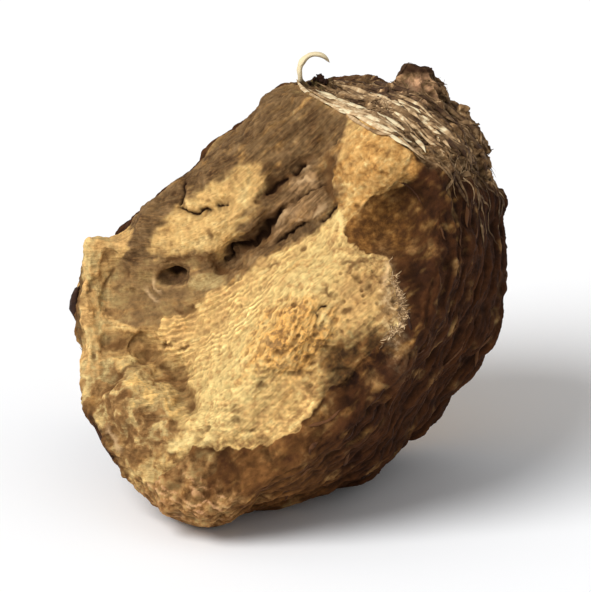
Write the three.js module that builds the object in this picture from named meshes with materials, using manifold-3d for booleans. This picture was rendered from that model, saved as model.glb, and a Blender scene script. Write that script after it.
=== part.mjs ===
// A dried chunk of ferula root: a thick slice across the root, one grown piece, lying on its bark side.
// It is shaped in its front view: u to the right, v up and w towards the viewer, in millimetres
// from the middle of its outline. The whole is then leaned back and set down on its flattened base.

import * as THREE from 'three';
import { ImprovedNoise } from 'three/addons/math/ImprovedNoise.js';
import { mergeVertices } from 'three/addons/utils/BufferGeometryUtils.js';
import Module from 'manifold-3d';

// Driving dimensions, in millimetres unless a name says otherwise.
const LEAN_DEGREES = 22; // the front view looks down on the chunk by this angle
const BASE_LEVEL = -25.2; // height of the flat base, from the middle of the outline
const FACE_MIDDLE = 12.0; // depth of the cut face in the middle of the outline
const FACE_SLOPE = { u: 0.4, v: -0.25 }; // the face looks left and up
const BACK_MIDDLE = -19.0; // depth of the rear cut
const BACK_SLOPE = { u: 0.3, v: 0.05 };
const FACE_EDGE = 1.6; // rounding where the face meets the bark
const BACK_EDGE = 3.0;
const SIDE_CLIMB = 18.0; // how much further the sides climb from their shoulders to the middle
const BODY_DIVISIONS = 19; // of each edge of the sphere that becomes the body
const SPROUT_DIVISIONS = 3;
const OUTLINE_SMOOTHING = { degrees: 24, steps: 6 }; // the outline's steps fade out behind its rim
const LUMPS_GROW = { from: 2, to: -14 }; // depths between which the lumps become those of the back
const SPROUT_STEPS = 60; // along each sprout's path

// Silhouette of the front view, anticlockwise from the right, as [u, v].
const OUTLINE = [
  [27.4, 3.4], [27.2, 9.2], [26.1, 15.4], [24.5, 20.2], [20.6, 22.6], [17.5, 24.4],
  [13.3, 24.8], [9.1, 24.7], [5.2, 25.2], [0.8, 25.8], [-1.7, 24.4], [-4.7, 20.7],
  [-9.9, 17.9], [-12.6, 14.1], [-17.9, 10.0], [-19.6, 6.7], [-21.2, 5.5], [-24.9, 6.0],
  [-25.0, 2.9], [-26.2, -1.2], [-25.8, -4.5], [-25.0, -9.3], [-25.2, -13.5], [-23.9, -16.8],
  [-22.0, -21.1], [-19.5, -23.8], [-17.0, -26.2], [-12.8, -28.7], [-9.9, -29.3], [-7.0, -28.9],
  [-4.8, -27.9], [0.0, -26.6], [5.0, -25.4], [9.0, -23.8], [13.0, -20.7], [18.0, -15.2],
  [22.8, -8.6], [26.1, -2.2],
];

// Values that change round the outline, as [degrees anticlockwise from the right, value].
const RIM_DEPTH = [
  [0, -7], [45, -7], [75, -5], [100, -3], [135, -2], [165, -1], [190, 0], [225, 5], [250, 8],
  [270, 0], [295, -5], [320, -8],
];
const FRONT_RISE = [
  [0, 26], [30, 24], [60, 17], [90, 14], [135, 9], [165, 8], [190, 8], [225, 9], [250, 10],
  [270, 19], [295, 25], [320, 28], [340, 27],
];
const FRONT_REACH = [
  [0, 0.52], [20, 0.5], [45, 0.4], [60, 0.3], [90, 0.2], [135, 0.14], [165, 0.1], [190, 0.1],
  [215, 0.12], [240, 0.27], [255, 0.3], [270, 0.32], [285, 0.46], [300, 0.52], [320, 0.47],
  [340, 0.49],
];
const FRONT_BULGE = [[0, 1.35], [45, 1.4], [90, 1.8], [180, 2], [250, 1.8], [300, 1.5]];
const BACK_FALL = [
  [0, 14], [45, 14], [90, 18], [135, 24], [180, 27], [225, 32], [250, 33], [270, 24], [300, 20],
  [340, 15],
];
const BACK_REACH = [
  [0, 0.2], [45, 0.2], [90, 0.25], [135, 0.38], [180, 0.45], [225, 0.46], [250, 0.42],
  [270, 0.4], [300, 0.36], [340, 0.22],
];
const BACK_BULGE = [[0, 1.8], [180, 1.8], [225, 1.4], [250, 1.2], [300, 1.25], [340, 1.7]];

// Swellings and hollows of the cut face: middle, half length, half width, turn in degrees, height.
const SWELLINGS = [
  { at: [1.4, -3.2], size: [15, 4.6], turn: 49, height: 4.6 }, // long pale bulge across the face
  { at: [10.0, -1.5], size: [4, 5.4], turn: 0, height: 1.8 }, // its shoulder by the right rim
  { at: [-7.5, -15.0], size: [5, 4], turn: 30, height: 1.4 }, // its lower end
  { at: [11.0, 15.6], size: [4.4, 3.4], turn: 20, height: 4.0 }, // lobe below the crown
  { at: [-9.4, 9.2], size: [6.5, 3.8], turn: 42, height: 1.6 }, // pale window of wood
  { at: [-4.0, 18.6], size: [12, 2.8], turn: 38, height: 1.8 }, // weathered upper edge
  { at: [0.8, 12.0], size: [6, 1.1], turn: 42, height: 0.8 }, // rib between the two main cracks
  { at: [1.0, 9.0], size: [6, 1.1], turn: 40, height: 0.8 }, // rib below it
  { at: [-18.0, -0.8], size: [6.2, 3.4], turn: -8, height: -2.8 }, // hollow round the knot hole
  { at: [13.0, 8.2], size: [5.0, 3.8], turn: 60, height: -3.8 }, // bay in the right rim
  { at: [-19.0, -14.0], size: [4.6, 5.4], turn: 20, height: 2.2 }, // lower left lump
  { at: [-13.9, 1.7], size: [1.9, 1.5], turn: 0, height: -2.4 }, // knot hole
  { at: [-21.5, -11.4], size: [1.7, 1.3], turn: 20, height: -1.2 }, // small pit at the left
];

// Long furrows and ribs of the face: path of [u, v], width and height.
const FURROWS = [
  { path: [[3.4, 16.3], [2.2, 15.4], [0.2, 13.9], [-2.0, 12.3]], width: 1.3, height: -1.2 },
  { path: [[4.8, 13.6], [2.6, 12.1], [0.6, 11.0]], width: 1.1, height: -0.8 },
  {
    path: [[0.6, 11.0], [-1.7, 8.7], [-2.6, 7.3], [-3.6, 6.2], [-5.2, 5.3], [-6.8, 4.4], [-8.2, 2.8]],
    width: 1.4,
    height: -2.2,
  },
  { path: [[6.2, 10.6], [4.4, 8.5], [2.0, 7.7], [0.2, 6.9], [-2.4, 5.0]], width: 1.2, height: -1.1 },
  { path: [[5.0, 17.6], [5.4, 15.0], [5.4, 12.2]], width: 1.3, height: -0.9 },
  { path: [[-13.5, 10.2], [-12.4, 9.4], [-10.8, 9.4], [-7.5, 10.4]], width: 1.0, height: -0.8 },
  { path: [[-20.6, -6.4], [-18.4, -7.2]], width: 1.8, height: -1.2 },
  {
    path: [[-17.4, -8.1], [-15.6, -9.4], [-13.8, -10.9], [-12.8, -12.5], [-12.2, -14.5]],
    width: 2.1,
    height: -2.6,
  },
  {
    path: [[-6.5, 2.2], [-9.8, -2.0], [-12.4, -6.5], [-13.4, -10.5]],
    width: 3.2,
    height: -1.5,
  },
  { path: [[-21.2, 5.6], [-21.8, 0.0], [-22.4, -6.0], [-22.6, -10.0]], width: 1.8, height: -1.1 },
  {
    path: [[1.2, 25.6], [2.5, 24.5], [6.6, 22.9], [10.8, 21.2], [14.0, 19.5], [16.2, 17.4]],
    width: 1.3,
    height: 0.9,
  },
  { path: [[12.5, 23.4], [15.4, 21.9], [17.4, 20.4], [21.0, 17.2]], width: 1.3, height: 0.8 },
  { path: [[8.0, 24.0], [12.0, 21.9], [16.4, 19.2]], width: 1.4, height: -1.1 },
];

// What sprouts from the crown, each drawn out along a path of [u, v, w]: stubs and a curled shaving.
const SPROUTS = [
  { path: [[16.9, 19.5, -4.5], [16.8, 26.7, -3.4]], wide: 6.8, thick: 5.8, blunt: 4, uneven: 0.25 },
  { path: [[16.0, 22.6, -3.4], [16.2, 28.2, -2.7]], wide: 4.6, thick: 4.4, blunt: 9, uneven: 0.12 },
  { path: [[21.2, 20.4, -4.6], [22.3, 22.7, -2.6]], wide: 2.9, thick: 2.4, blunt: 5, uneven: 0.4 },
  { path: [[22.4, 19.0, -5.4], [24.3, 21.1, -4.2]], wide: 2.3, thick: 1.9, blunt: 5, uneven: 0.4 },
  { path: [[4.8, 24.6, -5.0], [3.2, 26.4, -3.6]], wide: 3.2, thick: 2.4, blunt: 3, uneven: 0.6 },
  {
    path: [
      [2.4, 25.0, -2.8], [1.5, 26.6, -2.2], [1.7, 28.2, -2.0], [2.9, 29.2, -2.0],
      [4.4, 29.1, -2.2], [5.4, 28.0, -2.5],
    ],
    wide: 1.9,
    thick: 0.75,
    blunt: 4,
    uneven: 0.2,
  },
];

// Knots and hollows of the bark behind the rim: middle [u, v, w], radius and height.
const KNOTS = [
  { at: [20, -4, -6], radius: 6, height: 1.6 },
  { at: [25, 10, -12], radius: 5, height: -1.8 },
  { at: [12, 22, -14], radius: 6, height: 1.8 },
  { at: [-8, 17, -14], radius: 6.5, height: -2.2 },
  { at: [-22, 2, -10], radius: 6, height: 1.8 },
  { at: [-20, -14, -8], radius: 6, height: -1.8 },
  { at: [-10, -6, -24], radius: 7, height: 1.8 },
  { at: [6, 9, -17], radius: 7, height: -2.0 },
  { at: [16, -14, -14], radius: 4.5, height: 1.6 },
];

// Unevenness of the whole surface: size of its waves, height in front and height behind the rim.
const LUMPS = [
  { wave: 13, height: 1.1, behind: 2.4 },
  { wave: 5.2, height: 0.7, behind: 1.1 },
  { wave: 2.6, height: 0.3, behind: 0.3 },
];
const BARK_RINGS = { spacing: 4.2, height: 0.35, waver: 1.6 };
const ROOT_AXIS = new THREE.Vector3(0.36, -0.1, -0.93).normalize(); // from the face to the rear cut

const WOOD = { color: 0xb48f56, roughness: 0.85, metalness: 0 };

const noise = new ImprovedNoise();

// Smallest of a and b, with the corner between them rounded over k.
function softMin(a, b, k) {
  const h = THREE.MathUtils.clamp(0.5 + (0.5 * (b - a)) / k, 0, 1);
  return THREE.MathUtils.lerp(b, a, h) - k * h * (1 - h);
}

// A function of the angle in radians that runs smoothly through [degrees, value] stations.
function around(stations) {
  return (angle) => {
    const degrees = THREE.MathUtils.euclideanModulo(THREE.MathUtils.radToDeg(angle), 360);
    let after = stations.findIndex(([at]) => at > degrees);
    if (after < 0) after = stations.length;
    const [from, low] = stations[after - 1];
    const [to, high] = after < stations.length ? stations[after] : [360, stations[0][1]];
    return THREE.MathUtils.lerp(low, high, THREE.MathUtils.smoothstep(degrees, from, to));
  };
}

// The outline's radius as a function of the angle in radians.
function outlineRadius() {
  const points = OUTLINE.map(([u, v]) => new THREE.Vector3(u, v, 0));
  const curve = new THREE.CatmullRomCurve3(points, true, 'centripetal');
  const polar = curve
    .getPoints(12 * OUTLINE.length)
    .map((p) => [THREE.MathUtils.euclideanModulo(Math.atan2(p.y, p.x), 2 * Math.PI), p.length()])
    .sort((a, b) => a[0] - b[0]);
  return (angle) => {
    const turn = THREE.MathUtils.euclideanModulo(angle, 2 * Math.PI);
    const after = polar.findIndex(([at]) => at > turn);
    if (after <= 0) return polar[0][1];
    const [from, low] = polar[after - 1];
    const [to, high] = polar[after];
    return THREE.MathUtils.lerp(low, high, (turn - from) / Math.max(to - from, 1e-9));
  };
}

// The mean of a function of the angle over the smoothing range to both sides.
function smoothed(radius) {
  const { degrees, steps } = OUTLINE_SMOOTHING;
  return (angle) => {
    let sum = 0;
    for (let i = -steps; i <= steps; i++) {
      const aside = (i / steps) * THREE.MathUtils.degToRad(degrees);
      sum += radius(angle + aside);
    }
    return sum / (2 * steps + 1);
  };
}

const outline = outlineRadius();
const round = {
  radius: outline,
  smoothRadius: smoothed(outline),
  rim: around(RIM_DEPTH),
  frontRise: around(FRONT_RISE),
  frontReach: around(FRONT_REACH),
  frontBulge: around(FRONT_BULGE),
  backFall: around(BACK_FALL),
  backReach: around(BACK_REACH),
  backBulge: around(BACK_BULGE),
};

// Rises from 0 to 1 as x goes from 0 to 1, steeply at first for a large bulge, and stays at 1.
function shoulder(x, bulge) {
  return (1 - (1 - Math.min(x, 1)) ** bulge) ** (1 / bulge);
}

// Distance from [u, v] to a path of straight stretches.
function distanceToPath(u, v, path) {
  let least = Infinity;
  for (let i = 1; i < path.length; i++) {
    const [au, av] = path[i - 1];
    const [du, dv] = [path[i][0] - au, path[i][1] - av];
    const along = ((u - au) * du + (v - av) * dv) / (du * du + dv * dv);
    const t = THREE.MathUtils.clamp(along, 0, 1);
    least = Math.min(least, Math.hypot(u - au - t * du, v - av - t * dv));
  }
  return least;
}

// Height of the swellings, furrows and ribs of the face at [u, v].
function faceRelief(u, v) {
  let height = 0;
  for (const s of SWELLINGS) {
    const turn = THREE.MathUtils.degToRad(s.turn);
    const [du, dv] = [u - s.at[0], v - s.at[1]];
    const along = (du * Math.cos(turn) + dv * Math.sin(turn)) / s.size[0];
    const across = (dv * Math.cos(turn) - du * Math.sin(turn)) / s.size[1];
    height += s.height * Math.exp(-(along ** 2 + across ** 2));
  }
  for (const f of FURROWS) {
    height += f.height * Math.exp(-((distanceToPath(u, v, f.path) / f.width) ** 2));
  }
  return height;
}

// The smooth body's point for a direction of the sphere, and how much of the surface there is bark.
function bodyPoint(direction) {
  const angle = Math.atan2(direction.y, direction.x);
  const share = Math.min(Math.hypot(direction.x, direction.y), 1);
  const inward = 1 - share;
  const behind = THREE.MathUtils.smoothstep(-direction.z, 0.02, 0.28);
  const radius = THREE.MathUtils.lerp(round.radius(angle), round.smoothRadius(angle), behind);
  const u = share * radius * Math.cos(angle);
  const v = share * radius * Math.sin(angle);
  const rim = round.rim(angle);
  if (direction.z >= 0) {
    const rise = shoulder(inward / round.frontReach(angle), round.frontBulge(angle));
    const side = rim + round.frontRise(angle) * rise + SIDE_CLIMB * inward;
    const face = FACE_MIDDLE + FACE_SLOPE.u * u + FACE_SLOPE.v * v;
    const inside = THREE.MathUtils.smoothstep(inward, 0, 0.12);
    const w = softMin(side, face, FACE_EDGE) + faceRelief(u, v) * inside;
    return { point: [u, v, w], bark: THREE.MathUtils.smoothstep(face - side, 0, 3) };
  }
  const fall = shoulder(inward / round.backReach(angle), round.backBulge(angle));
  const side = rim - round.backFall(angle) * fall - SIDE_CLIMB * inward;
  const back = BACK_MIDDLE + BACK_SLOPE.u * u + BACK_SLOPE.v * v;
  const w = -softMin(-side, -back, BACK_EDGE);
  return { point: [u, v, w], bark: THREE.MathUtils.smoothstep(side - back, 0, 3) };
}

// How far the surface stands out at a point, by its lumps, its knots and, on the bark, its rings.
function unevenness(p, bark) {
  const back = 1 - THREE.MathUtils.smoothstep(p.z, LUMPS_GROW.to, LUMPS_GROW.from);
  let out = 0;
  for (const { wave, height, behind } of LUMPS) {
    const lump = noise.noise(p.x / wave + 7.3, p.y / wave + 2.9, p.z / wave + 5.1);
    out += THREE.MathUtils.lerp(height, behind, back) * lump;
  }
  for (const { at, radius, height } of KNOTS) {
    out += height * Math.exp(-((p.distanceTo(new THREE.Vector3(...at)) / radius) ** 2));
  }
  const waver = BARK_RINGS.waver * noise.noise(p.x / 9, p.y / 9, p.z / 9 + 11.7);
  const ring = Math.sin((2 * Math.PI * (p.dot(ROOT_AXIS) + waver)) / BARK_RINGS.spacing);
  return out + bark * BARK_RINGS.height * ring;
}

function unitSphere(divisions) {
  const sphere = new THREE.IcosahedronGeometry(1, divisions);
  sphere.deleteAttribute('normal');
  sphere.deleteAttribute('uv');
  return mergeVertices(sphere, 1e-5);
}

// The chunk without its sprouts, from a sphere whose points move out to the chunk's surface.
function bodyGeometry() {
  const geometry = unitSphere(BODY_DIVISIONS);
  const position = geometry.getAttribute('position');
  const barks = [];
  for (let i = 0; i < position.count; i++) {
    const made = bodyPoint(new THREE.Vector3().fromBufferAttribute(position, i));
    position.setXYZ(i, ...made.point);
    barks.push(made.bark);
  }
  geometry.computeVertexNormals();
  const normal = geometry.getAttribute('normal');
  for (let i = 0; i < position.count; i++) {
    const p = new THREE.Vector3().fromBufferAttribute(position, i);
    const n = new THREE.Vector3().fromBufferAttribute(normal, i);
    p.addScaledVector(n, unevenness(p, barks[i]));
    position.setXYZ(i, p.x, p.y, p.z);
  }
  geometry.deleteAttribute('normal');
  return geometry;
}

// A sphere drawn out along a path; the larger its bluntness, the fuller it stays to its ends.
function sproutGeometry({ path, wide, thick, blunt, uneven }) {
  const curve = new THREE.CatmullRomCurve3(path.map((p) => new THREE.Vector3(...p)));
  const frames = curve.computeFrenetFrames(SPROUT_STEPS);
  const geometry = unitSphere(SPROUT_DIVISIONS);
  const position = geometry.getAttribute('position');
  for (let i = 0; i < position.count; i++) {
    const s = new THREE.Vector3().fromBufferAttribute(position, i);
    const share = (THREE.MathUtils.clamp(s.y, -1, 1) + 1) / 2;
    const step = Math.round(share * SPROUT_STEPS);
    const ring = Math.max(Math.hypot(s.x, s.z), 1e-6);
    const fullness = Math.sqrt(Math.max(1 - Math.abs(s.y) ** blunt, 0)) / ring;
    const bumps = 1 + uneven * noise.noise(1.9 * s.x + wide, 1.9 * s.y, 1.9 * s.z + thick);
    const p = curve.getPoint(share);
    p.addScaledVector(frames.normals[step], (s.x * fullness * bumps * wide) / 2);
    p.addScaledVector(frames.binormals[step], (-s.z * fullness * bumps * thick) / 2);
    position.setXYZ(i, p.x, p.y, p.z);
  }
  return geometry;
}

const wasm = await Module();
wasm.setup();

function solid(geometry) {
  return new wasm.Manifold(
    new wasm.Mesh({
      numProp: 3,
      vertProperties: geometry.getAttribute('position').array,
      triVerts: new Uint32Array(geometry.index.array),
    }),
  );
}

function geometryOf(manifold) {
  const mesh = manifold.getMesh();
  const geometry = new THREE.BufferGeometry();
  geometry.setAttribute('position', new THREE.BufferAttribute(mesh.vertProperties, 3));
  geometry.setIndex(new THREE.BufferAttribute(mesh.triVerts, 1));
  geometry.computeVertexNormals();
  return geometry;
}

// Turns the front view into the resting frame: x to the right, y away from the viewer, z up.
function restingFrame() {
  const lean = THREE.MathUtils.degToRad(LEAN_DEGREES);
  return new THREE.Matrix4().makeBasis(
    new THREE.Vector3(1, 0, 0),
    new THREE.Vector3(0, Math.sin(lean), Math.cos(lean)),
    new THREE.Vector3(0, -Math.cos(lean), Math.sin(lean)),
  );
}

// Everything below the base level, as a block to cut away.
function groundBlock() {
  const side = 200;
  const block = new THREE.BoxGeometry(side, side, side);
  block.translate(0, 0, BASE_LEVEL - side / 2);
  block.deleteAttribute('normal');
  block.deleteAttribute('uv');
  return mergeVertices(block, 1e-4);
}

function rootChunk() {
  let whole = solid(bodyGeometry());
  for (const sprout of SPROUTS) whole = whole.add(solid(sproutGeometry(sprout)));
  const grown = geometryOf(whole);
  grown.applyMatrix4(restingFrame());
  const geometry = geometryOf(solid(grown).subtract(solid(groundBlock())));
  geometry.computeBoundingBox();
  const middle = geometry.boundingBox.getCenter(new THREE.Vector3());
  geometry.translate(-middle.x, -middle.y, -geometry.boundingBox.min.z);
  const mesh = new THREE.Mesh(geometry, new THREE.MeshStandardMaterial(WOOD));
  mesh.name = 'root_chunk';
  return mesh;
}

const root = new THREE.Group();
root.add(rootChunk());

export default root;
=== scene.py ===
"""The looks of a dried chunk of ferula root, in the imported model's frame.

Shapes are worked out in the chunk's front view, as in its source: u to the right, v up and w towards
the viewer, in millimetres from the middle of its outline.
"""

import math
from contextlib import contextmanager

import bmesh
import bpy
import numpy as np
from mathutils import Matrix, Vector
from mathutils.bvhtree import BVHTree


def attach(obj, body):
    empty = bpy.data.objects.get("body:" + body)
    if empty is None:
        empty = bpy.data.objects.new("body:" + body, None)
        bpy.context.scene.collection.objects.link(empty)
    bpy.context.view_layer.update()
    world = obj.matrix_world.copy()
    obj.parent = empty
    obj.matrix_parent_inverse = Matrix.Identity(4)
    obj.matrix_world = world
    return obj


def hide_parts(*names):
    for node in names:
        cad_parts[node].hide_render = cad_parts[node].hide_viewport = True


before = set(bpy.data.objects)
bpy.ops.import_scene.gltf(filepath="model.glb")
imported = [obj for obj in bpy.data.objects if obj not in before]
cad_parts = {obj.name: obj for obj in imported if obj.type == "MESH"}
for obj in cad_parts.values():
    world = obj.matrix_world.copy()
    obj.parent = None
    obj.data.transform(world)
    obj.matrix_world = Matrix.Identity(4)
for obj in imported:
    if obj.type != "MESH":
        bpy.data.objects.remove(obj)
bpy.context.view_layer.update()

# The front view's place in the resting frame, in millimetres
MM = 0.001
LEAN = math.radians(22)
SIN, COS = math.sin(LEAN), math.cos(LEAN)
MIDDLE = np.array((0.562, 0.459, -25.2))

# Planes of the cut face and of the rear cut, each by its level and two slopes, and the root's axis
FACE_MIDDLE, FACE_SLOPE_U, FACE_SLOPE_V = 12.0, 0.4, -0.25
REAR_MIDDLE, REAR_SLOPE_U, REAR_SLOPE_V = -19.0, 0.3, 0.05
ROOT_AXIS = np.array((0.36, -0.1, -0.93)) / np.linalg.norm((0.36, -0.1, -0.93))

# Size of the finer surface's polygons
VOXEL = 0.3


def turned(vectors):
    """Vectors of the resting frame along the front view's axes."""
    x, y, z = np.asarray(vectors).T
    return np.stack((x, y * SIN + z * COS, -y * COS + z * SIN), axis=1)


def to_view(points):
    """View coordinates in millimetres of points in metres."""
    return turned(np.asarray(points) / MM + MIDDLE)


def to_world(points):
    """Points in metres of view coordinates in millimetres."""
    u, v, w = np.asarray(points, float).T
    return (np.stack((u, v * SIN - w * COS, v * COS + w * SIN), axis=1) - MIDDLE) * MM


def smoothstep(low, high, x):
    t = np.clip((x - low) / (high - low), 0, 1)
    return t * t * (3 - 2 * t)


def bell(x, power=2):
    """1 at zero, falling off smoothly round it, and more squarely with a higher power."""
    return np.exp(-(x**power))


# Noise


def corner_value(i, j, k, seed):
    """A number from -1 to 1 for each whole-number point."""
    h = (i * 374761393 + j * 668265263 + k * 1440662683 + seed * 974634777) & 0xFFFFFFFF
    h = ((h ^ (h >> 13)) * 1274126177) & 0xFFFFFFFF
    h = ((h ^ (h >> 15)) * 2246822519) & 0xFFFFFFFF
    return ((h ^ (h >> 16)) & 0xFFFFFF) / float(0x7FFFFF) - 1


def noise(p, seed=0):
    """Smooth noise from -1 to 1 at the rows of p, with a random value at each whole-number point."""
    cell = np.floor(p).astype(np.int64)
    f = p - cell
    f = f * f * f * (f * (f * 6 - 15) + 10)
    total = np.zeros(len(p))
    for i, j, k in np.ndindex(2, 2, 2):
        weight = np.abs(1 - i - f[:, 0]) * np.abs(1 - j - f[:, 1]) * np.abs(1 - k - f[:, 2])
        total += weight * corner_value(cell[:, 0] + i, cell[:, 1] + j, cell[:, 2] + k, seed)
    return total


def layered(p, octaves, seed=0):
    """Noise of several octaves, each half as high and twice as fine as the one before."""
    total = np.zeros(len(p))
    height = 1.0
    for octave in range(octaves):
        total += height * noise(p * 2.03**octave + 17.3 * octave, seed + octave)
        height *= 0.5
    return total / (2 - 2 * height)


def drawn(a, b, c, octaves, seed):
    """Layered noise of three coordinates that are stretched apart."""
    return layered(np.stack((a, b, c), axis=1), octaves, seed)


def pushed(p, *pushes):
    """Front view places pushed about sideways by noises, each with its size, height and seed."""
    u, v = p[:, 0], p[:, 1]
    for size, height, seed in pushes:
        u = u + height * layered(p / size, 2, seed)
        v = v + height * layered(p / size, 2, seed + 5)
    return u, v


def pits(p, size, seed):
    """Closeness from 0 to 1 to the nearest of the points scattered one in each cell of that size."""
    q = p / size
    cell = np.floor(q).astype(np.int64)
    nearest = np.full(len(p), 9.0)
    for step in np.ndindex(3, 3, 3):
        near = (cell + step - 1).T
        point = [near[axis] + 0.5 + 0.5 * corner_value(*near, seed + axis) for axis in range(3)]
        nearest = np.minimum(nearest, np.linalg.norm(q - np.transpose(point), axis=1))
    return np.clip(1 - nearest, 0, 1)


# Shapes in the front view


def path_distance(u, v, path):
    """Distance to a path of straight stretches, and the share of the path at its nearest point."""
    least = np.full(len(u), 1e9)
    share = np.zeros(len(u))
    for index, ((au, av), (bu, bv)) in enumerate(zip(path, path[1:])):
        du, dv = bu - au, bv - av
        t = np.clip(((u - au) * du + (v - av) * dv) / (du * du + dv * dv), 0, 1)
        away = np.hypot(u - au - t * du, v - av - t * dv)
        closer = away < least
        least = np.where(closer, away, least)
        share = np.where(closer, (index + t) / (len(path) - 1), share)
    return least, share


def inside(u, v, polygon, soft):
    """1 inside a polygon and 0 outside, with a soft edge of that width."""
    edge, _ = path_distance(u, v, polygon + polygon[:1])
    crossings = np.zeros(len(u), bool)
    for (au, av), (bu, bv) in zip(polygon, polygon[1:] + polygon[:1]):
        if av != bv:
            at = au + (v - av) * (bu - au) / (bv - av)
            crossings ^= ((av > v) != (bv > v)) & (u < at)
    return smoothstep(-soft / 2, soft / 2, np.where(crossings, edge, -edge))


def oval(u, v, name):
    """1 in the middle of one of the front's ovals, falling off smoothly round it."""
    at, size, turn = OVALS[name]
    c, s = math.cos(math.radians(turn)), math.sin(math.radians(turn))
    du, dv = u - at[0], v - at[1]
    return np.exp(-(((du * c + dv * s) / size[0]) ** 2 + ((dv * c - du * s) / size[1]) ** 2))


# Outlines of the parts of the front, each as a closed path

FACE = [
    (15.3, 18.3), (14.6, 14.4), (12.4, 12.4), (9.8, 11.4), (8.8, 9), (6.6, 6.9), (7.4, 5.4),
    (10.6, 4.6), (12.4, 3.2), (13.4, -0.3), (13.5, -4.5), (10.6, -8.2), (6.4, -11.4), (3.4, -14),
    (0.9, -18), (-4.1, -19.8), (-8.3, -19.6), (-11.2, -19.2), (-14.1, -22.2), (-17, -24.2),
    (-21, -24.8), (-30, -22), (-31, 10), (-20, 16), (-6, 28), (2, 25),
    (6.2, 23.4), (10.4, 21.2), (14, 19.6),
]
FACE_CORE = [
    (12, 18), (11, 13.5), (7, 10.8), (5, 7), (6.4, 4.4), (9.6, 2.6), (11.4, -0.6),
    (11, -3.4), (7.6, -4.8), (3.8, -8.8), (1.4, -12.2), (-1, -16.2), (-5, -18.4),
    (-9.2, -18.2), (-12.4, -17.8), (-15.5, -20.4), (-18.5, -22.6), (-32, -21), (-31, 12),
    (-20, 18), (-6, 30), (2, 24.8), (10.8, 21),
]
WINDOW = [
    (-17.2, 4.2), (-16.8, 6.6), (-14.8, 8.6), (-13.2, 10.6), (-11.6, 12.4), (-8.5, 13.4),
    (-5.2, 15.2), (-3.2, 14.8), (-2.6, 12.8), (-4, 10.2), (-5.2, 7.8), (-6.4, 5.6), (-8, 3.8),
    (-9.4, 4.4), (-11.5, 4.6), (-14.5, 4.1),
]
WEATHERED_BAND = [
    (-21, 2.6), (-20.2, 4.6), (-19.4, 7.6), (-25, 11), (-8, 26), (2, 25.8),
    (8, 21.6), (6.8, 18.6), (6.7, 14.6), (7.4, 10.6), (5.8, 9), (4, 8), (2.2, 7.1),
    (0.4, 6), (-1.5, 4.8), (-3.4, 3.2), (-6.6, 1), (-8.4, 1), (-9, 3.6), (-16.6, 3.4),
    (-17.4, 2),
]
HOLLOW = [
    (-23.4, 0), (-22.5, 1.2), (-21.4, 2.6), (-20.6, 3.6), (-16.6, 3.6), (-14.4, 3.9),
    (-10.2, 4.3), (-8.2, 3.2), (-7.2, 1.4), (-8.8, -0.2), (-11.4, -1.8), (-13.4, -3.4),
    (-15.6, -3.6), (-16.6, -5), (-19.8, -4.9), (-22.6, -3.4), (-23.4, -2),
]
LUMP = [(-21, -8.8), (-15.4, -9.2), (-13, -12.4), (-13, -16.2), (-18, -17.2), (-21, -14)]
LOWER_LEFT = [
    (-27, -8), (-21.5, -8.4), (-19, -14.5), (-13.4, -16.4), (-12, -19), (-15, -22.8),
    (-19, -25), (-27, -20),
]
LOBE = [
    (7.6, 18.6), (6.8, 15.4), (6.6, 12.6), (6.8, 10.2), (7.6, 8), (9.6, 9.8), (10.2, 11.6),
    (12.6, 12.9), (15.2, 13.8), (16, 16.2), (14.4, 18.6), (10.4, 20.4),
]
RIM_SHADE = [
    (4.3, -7.2), (6, -6.4), (8, -5.6), (9.8, -4.7), (11.6, -4.6), (13.6, -6.2), (12, -9),
    (7, -12.4), (4, -13.6), (4.6, -11), (3.9, -9),
]
SCUFFED = [
    (-24, -20), (-15, -20), (-12.5, -20.6), (-9.8, -21.5), (-9.6, -24), (-8.2, -26.5),
    (-6, -28.5), (-8, -32), (-22, -30),
]
STRIATED = [(6, -4), (9, -8), (0, -19), (-12, -18.5), (-9, -12), (0, -6)]
RIBS = [
    (-2.6, 5.4), (0, 7.4), (2, 8.6), (4, 10.4), (5, 11.6), (4.4, 13.2), (3.4, 14.6),
    (1.6, 14), (-0.4, 12.2), (-2, 10), (-3.2, 8),
]
COMBED = [
    (-17, -3.2), (-13, -2.4), (-8, 0.4), (-3, 3), (4, 8.6), (1, 3.6), (-5, -5),
    (-11.5, -12), (-15.5, -8),
]

# Lines and spots of the front: cracks as path, width and depth, marks as path and width, spots with
# their radius, and scraps of bark at the left edge by levels, each with its way out and its width

CRACKS = [
    ([(2.4, 15.5), (1.7, 15.1), (1, 14.5), (0.3, 14)], 0.34, 1.0),
    ([(-0.2, 13.6), (-0.9, 13.1), (-1.9, 12.4), (-2.6, 11.8)], 0.3, 0.8),
    ([(0.5, 10.9), (-0.8, 9.8), (-1.6, 8.8), (-2.3, 7.7), (-3.2, 6.5), (-4.4, 5.7),
      (-5.6, 5.2), (-6.5, 4.8), (-7, 4), (-8.2, 2.8)], 0.36, 1.2),
    ([(2.3, 8), (1.5, 7.5), (0.2, 6.9), (-0.9, 6.2), (-2, 5.4)], 0.24, 0.8),
    ([(6.3, 10.7), (5.4, 9.5), (4.4, 8.4), (3.8, 8.2)], 0.2, 0.6),
    ([(4.8, 13), (3.4, 12.1), (2, 11.6), (0.9, 11)], 0.14, 0.5),
    ([(-13.7, 10.1), (-12.6, 9.6), (-11.4, 9.5), (-9.6, 10)], 0.2, 0.7),
    ([(-9, 10.2), (-8.2, 10.4), (-7.4, 10.4)], 0.24, 0.5),
    ([(-12.3, 14.2), (-12.6, 12.9), (-13.2, 11.4), (-13.6, 10)], 0.2, 0.6),
    ([(3.7, -3.9), (3.6, -3.2), (4.2, -2.4), (5, -1.9)], 0.14, 0.3),
]
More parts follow.
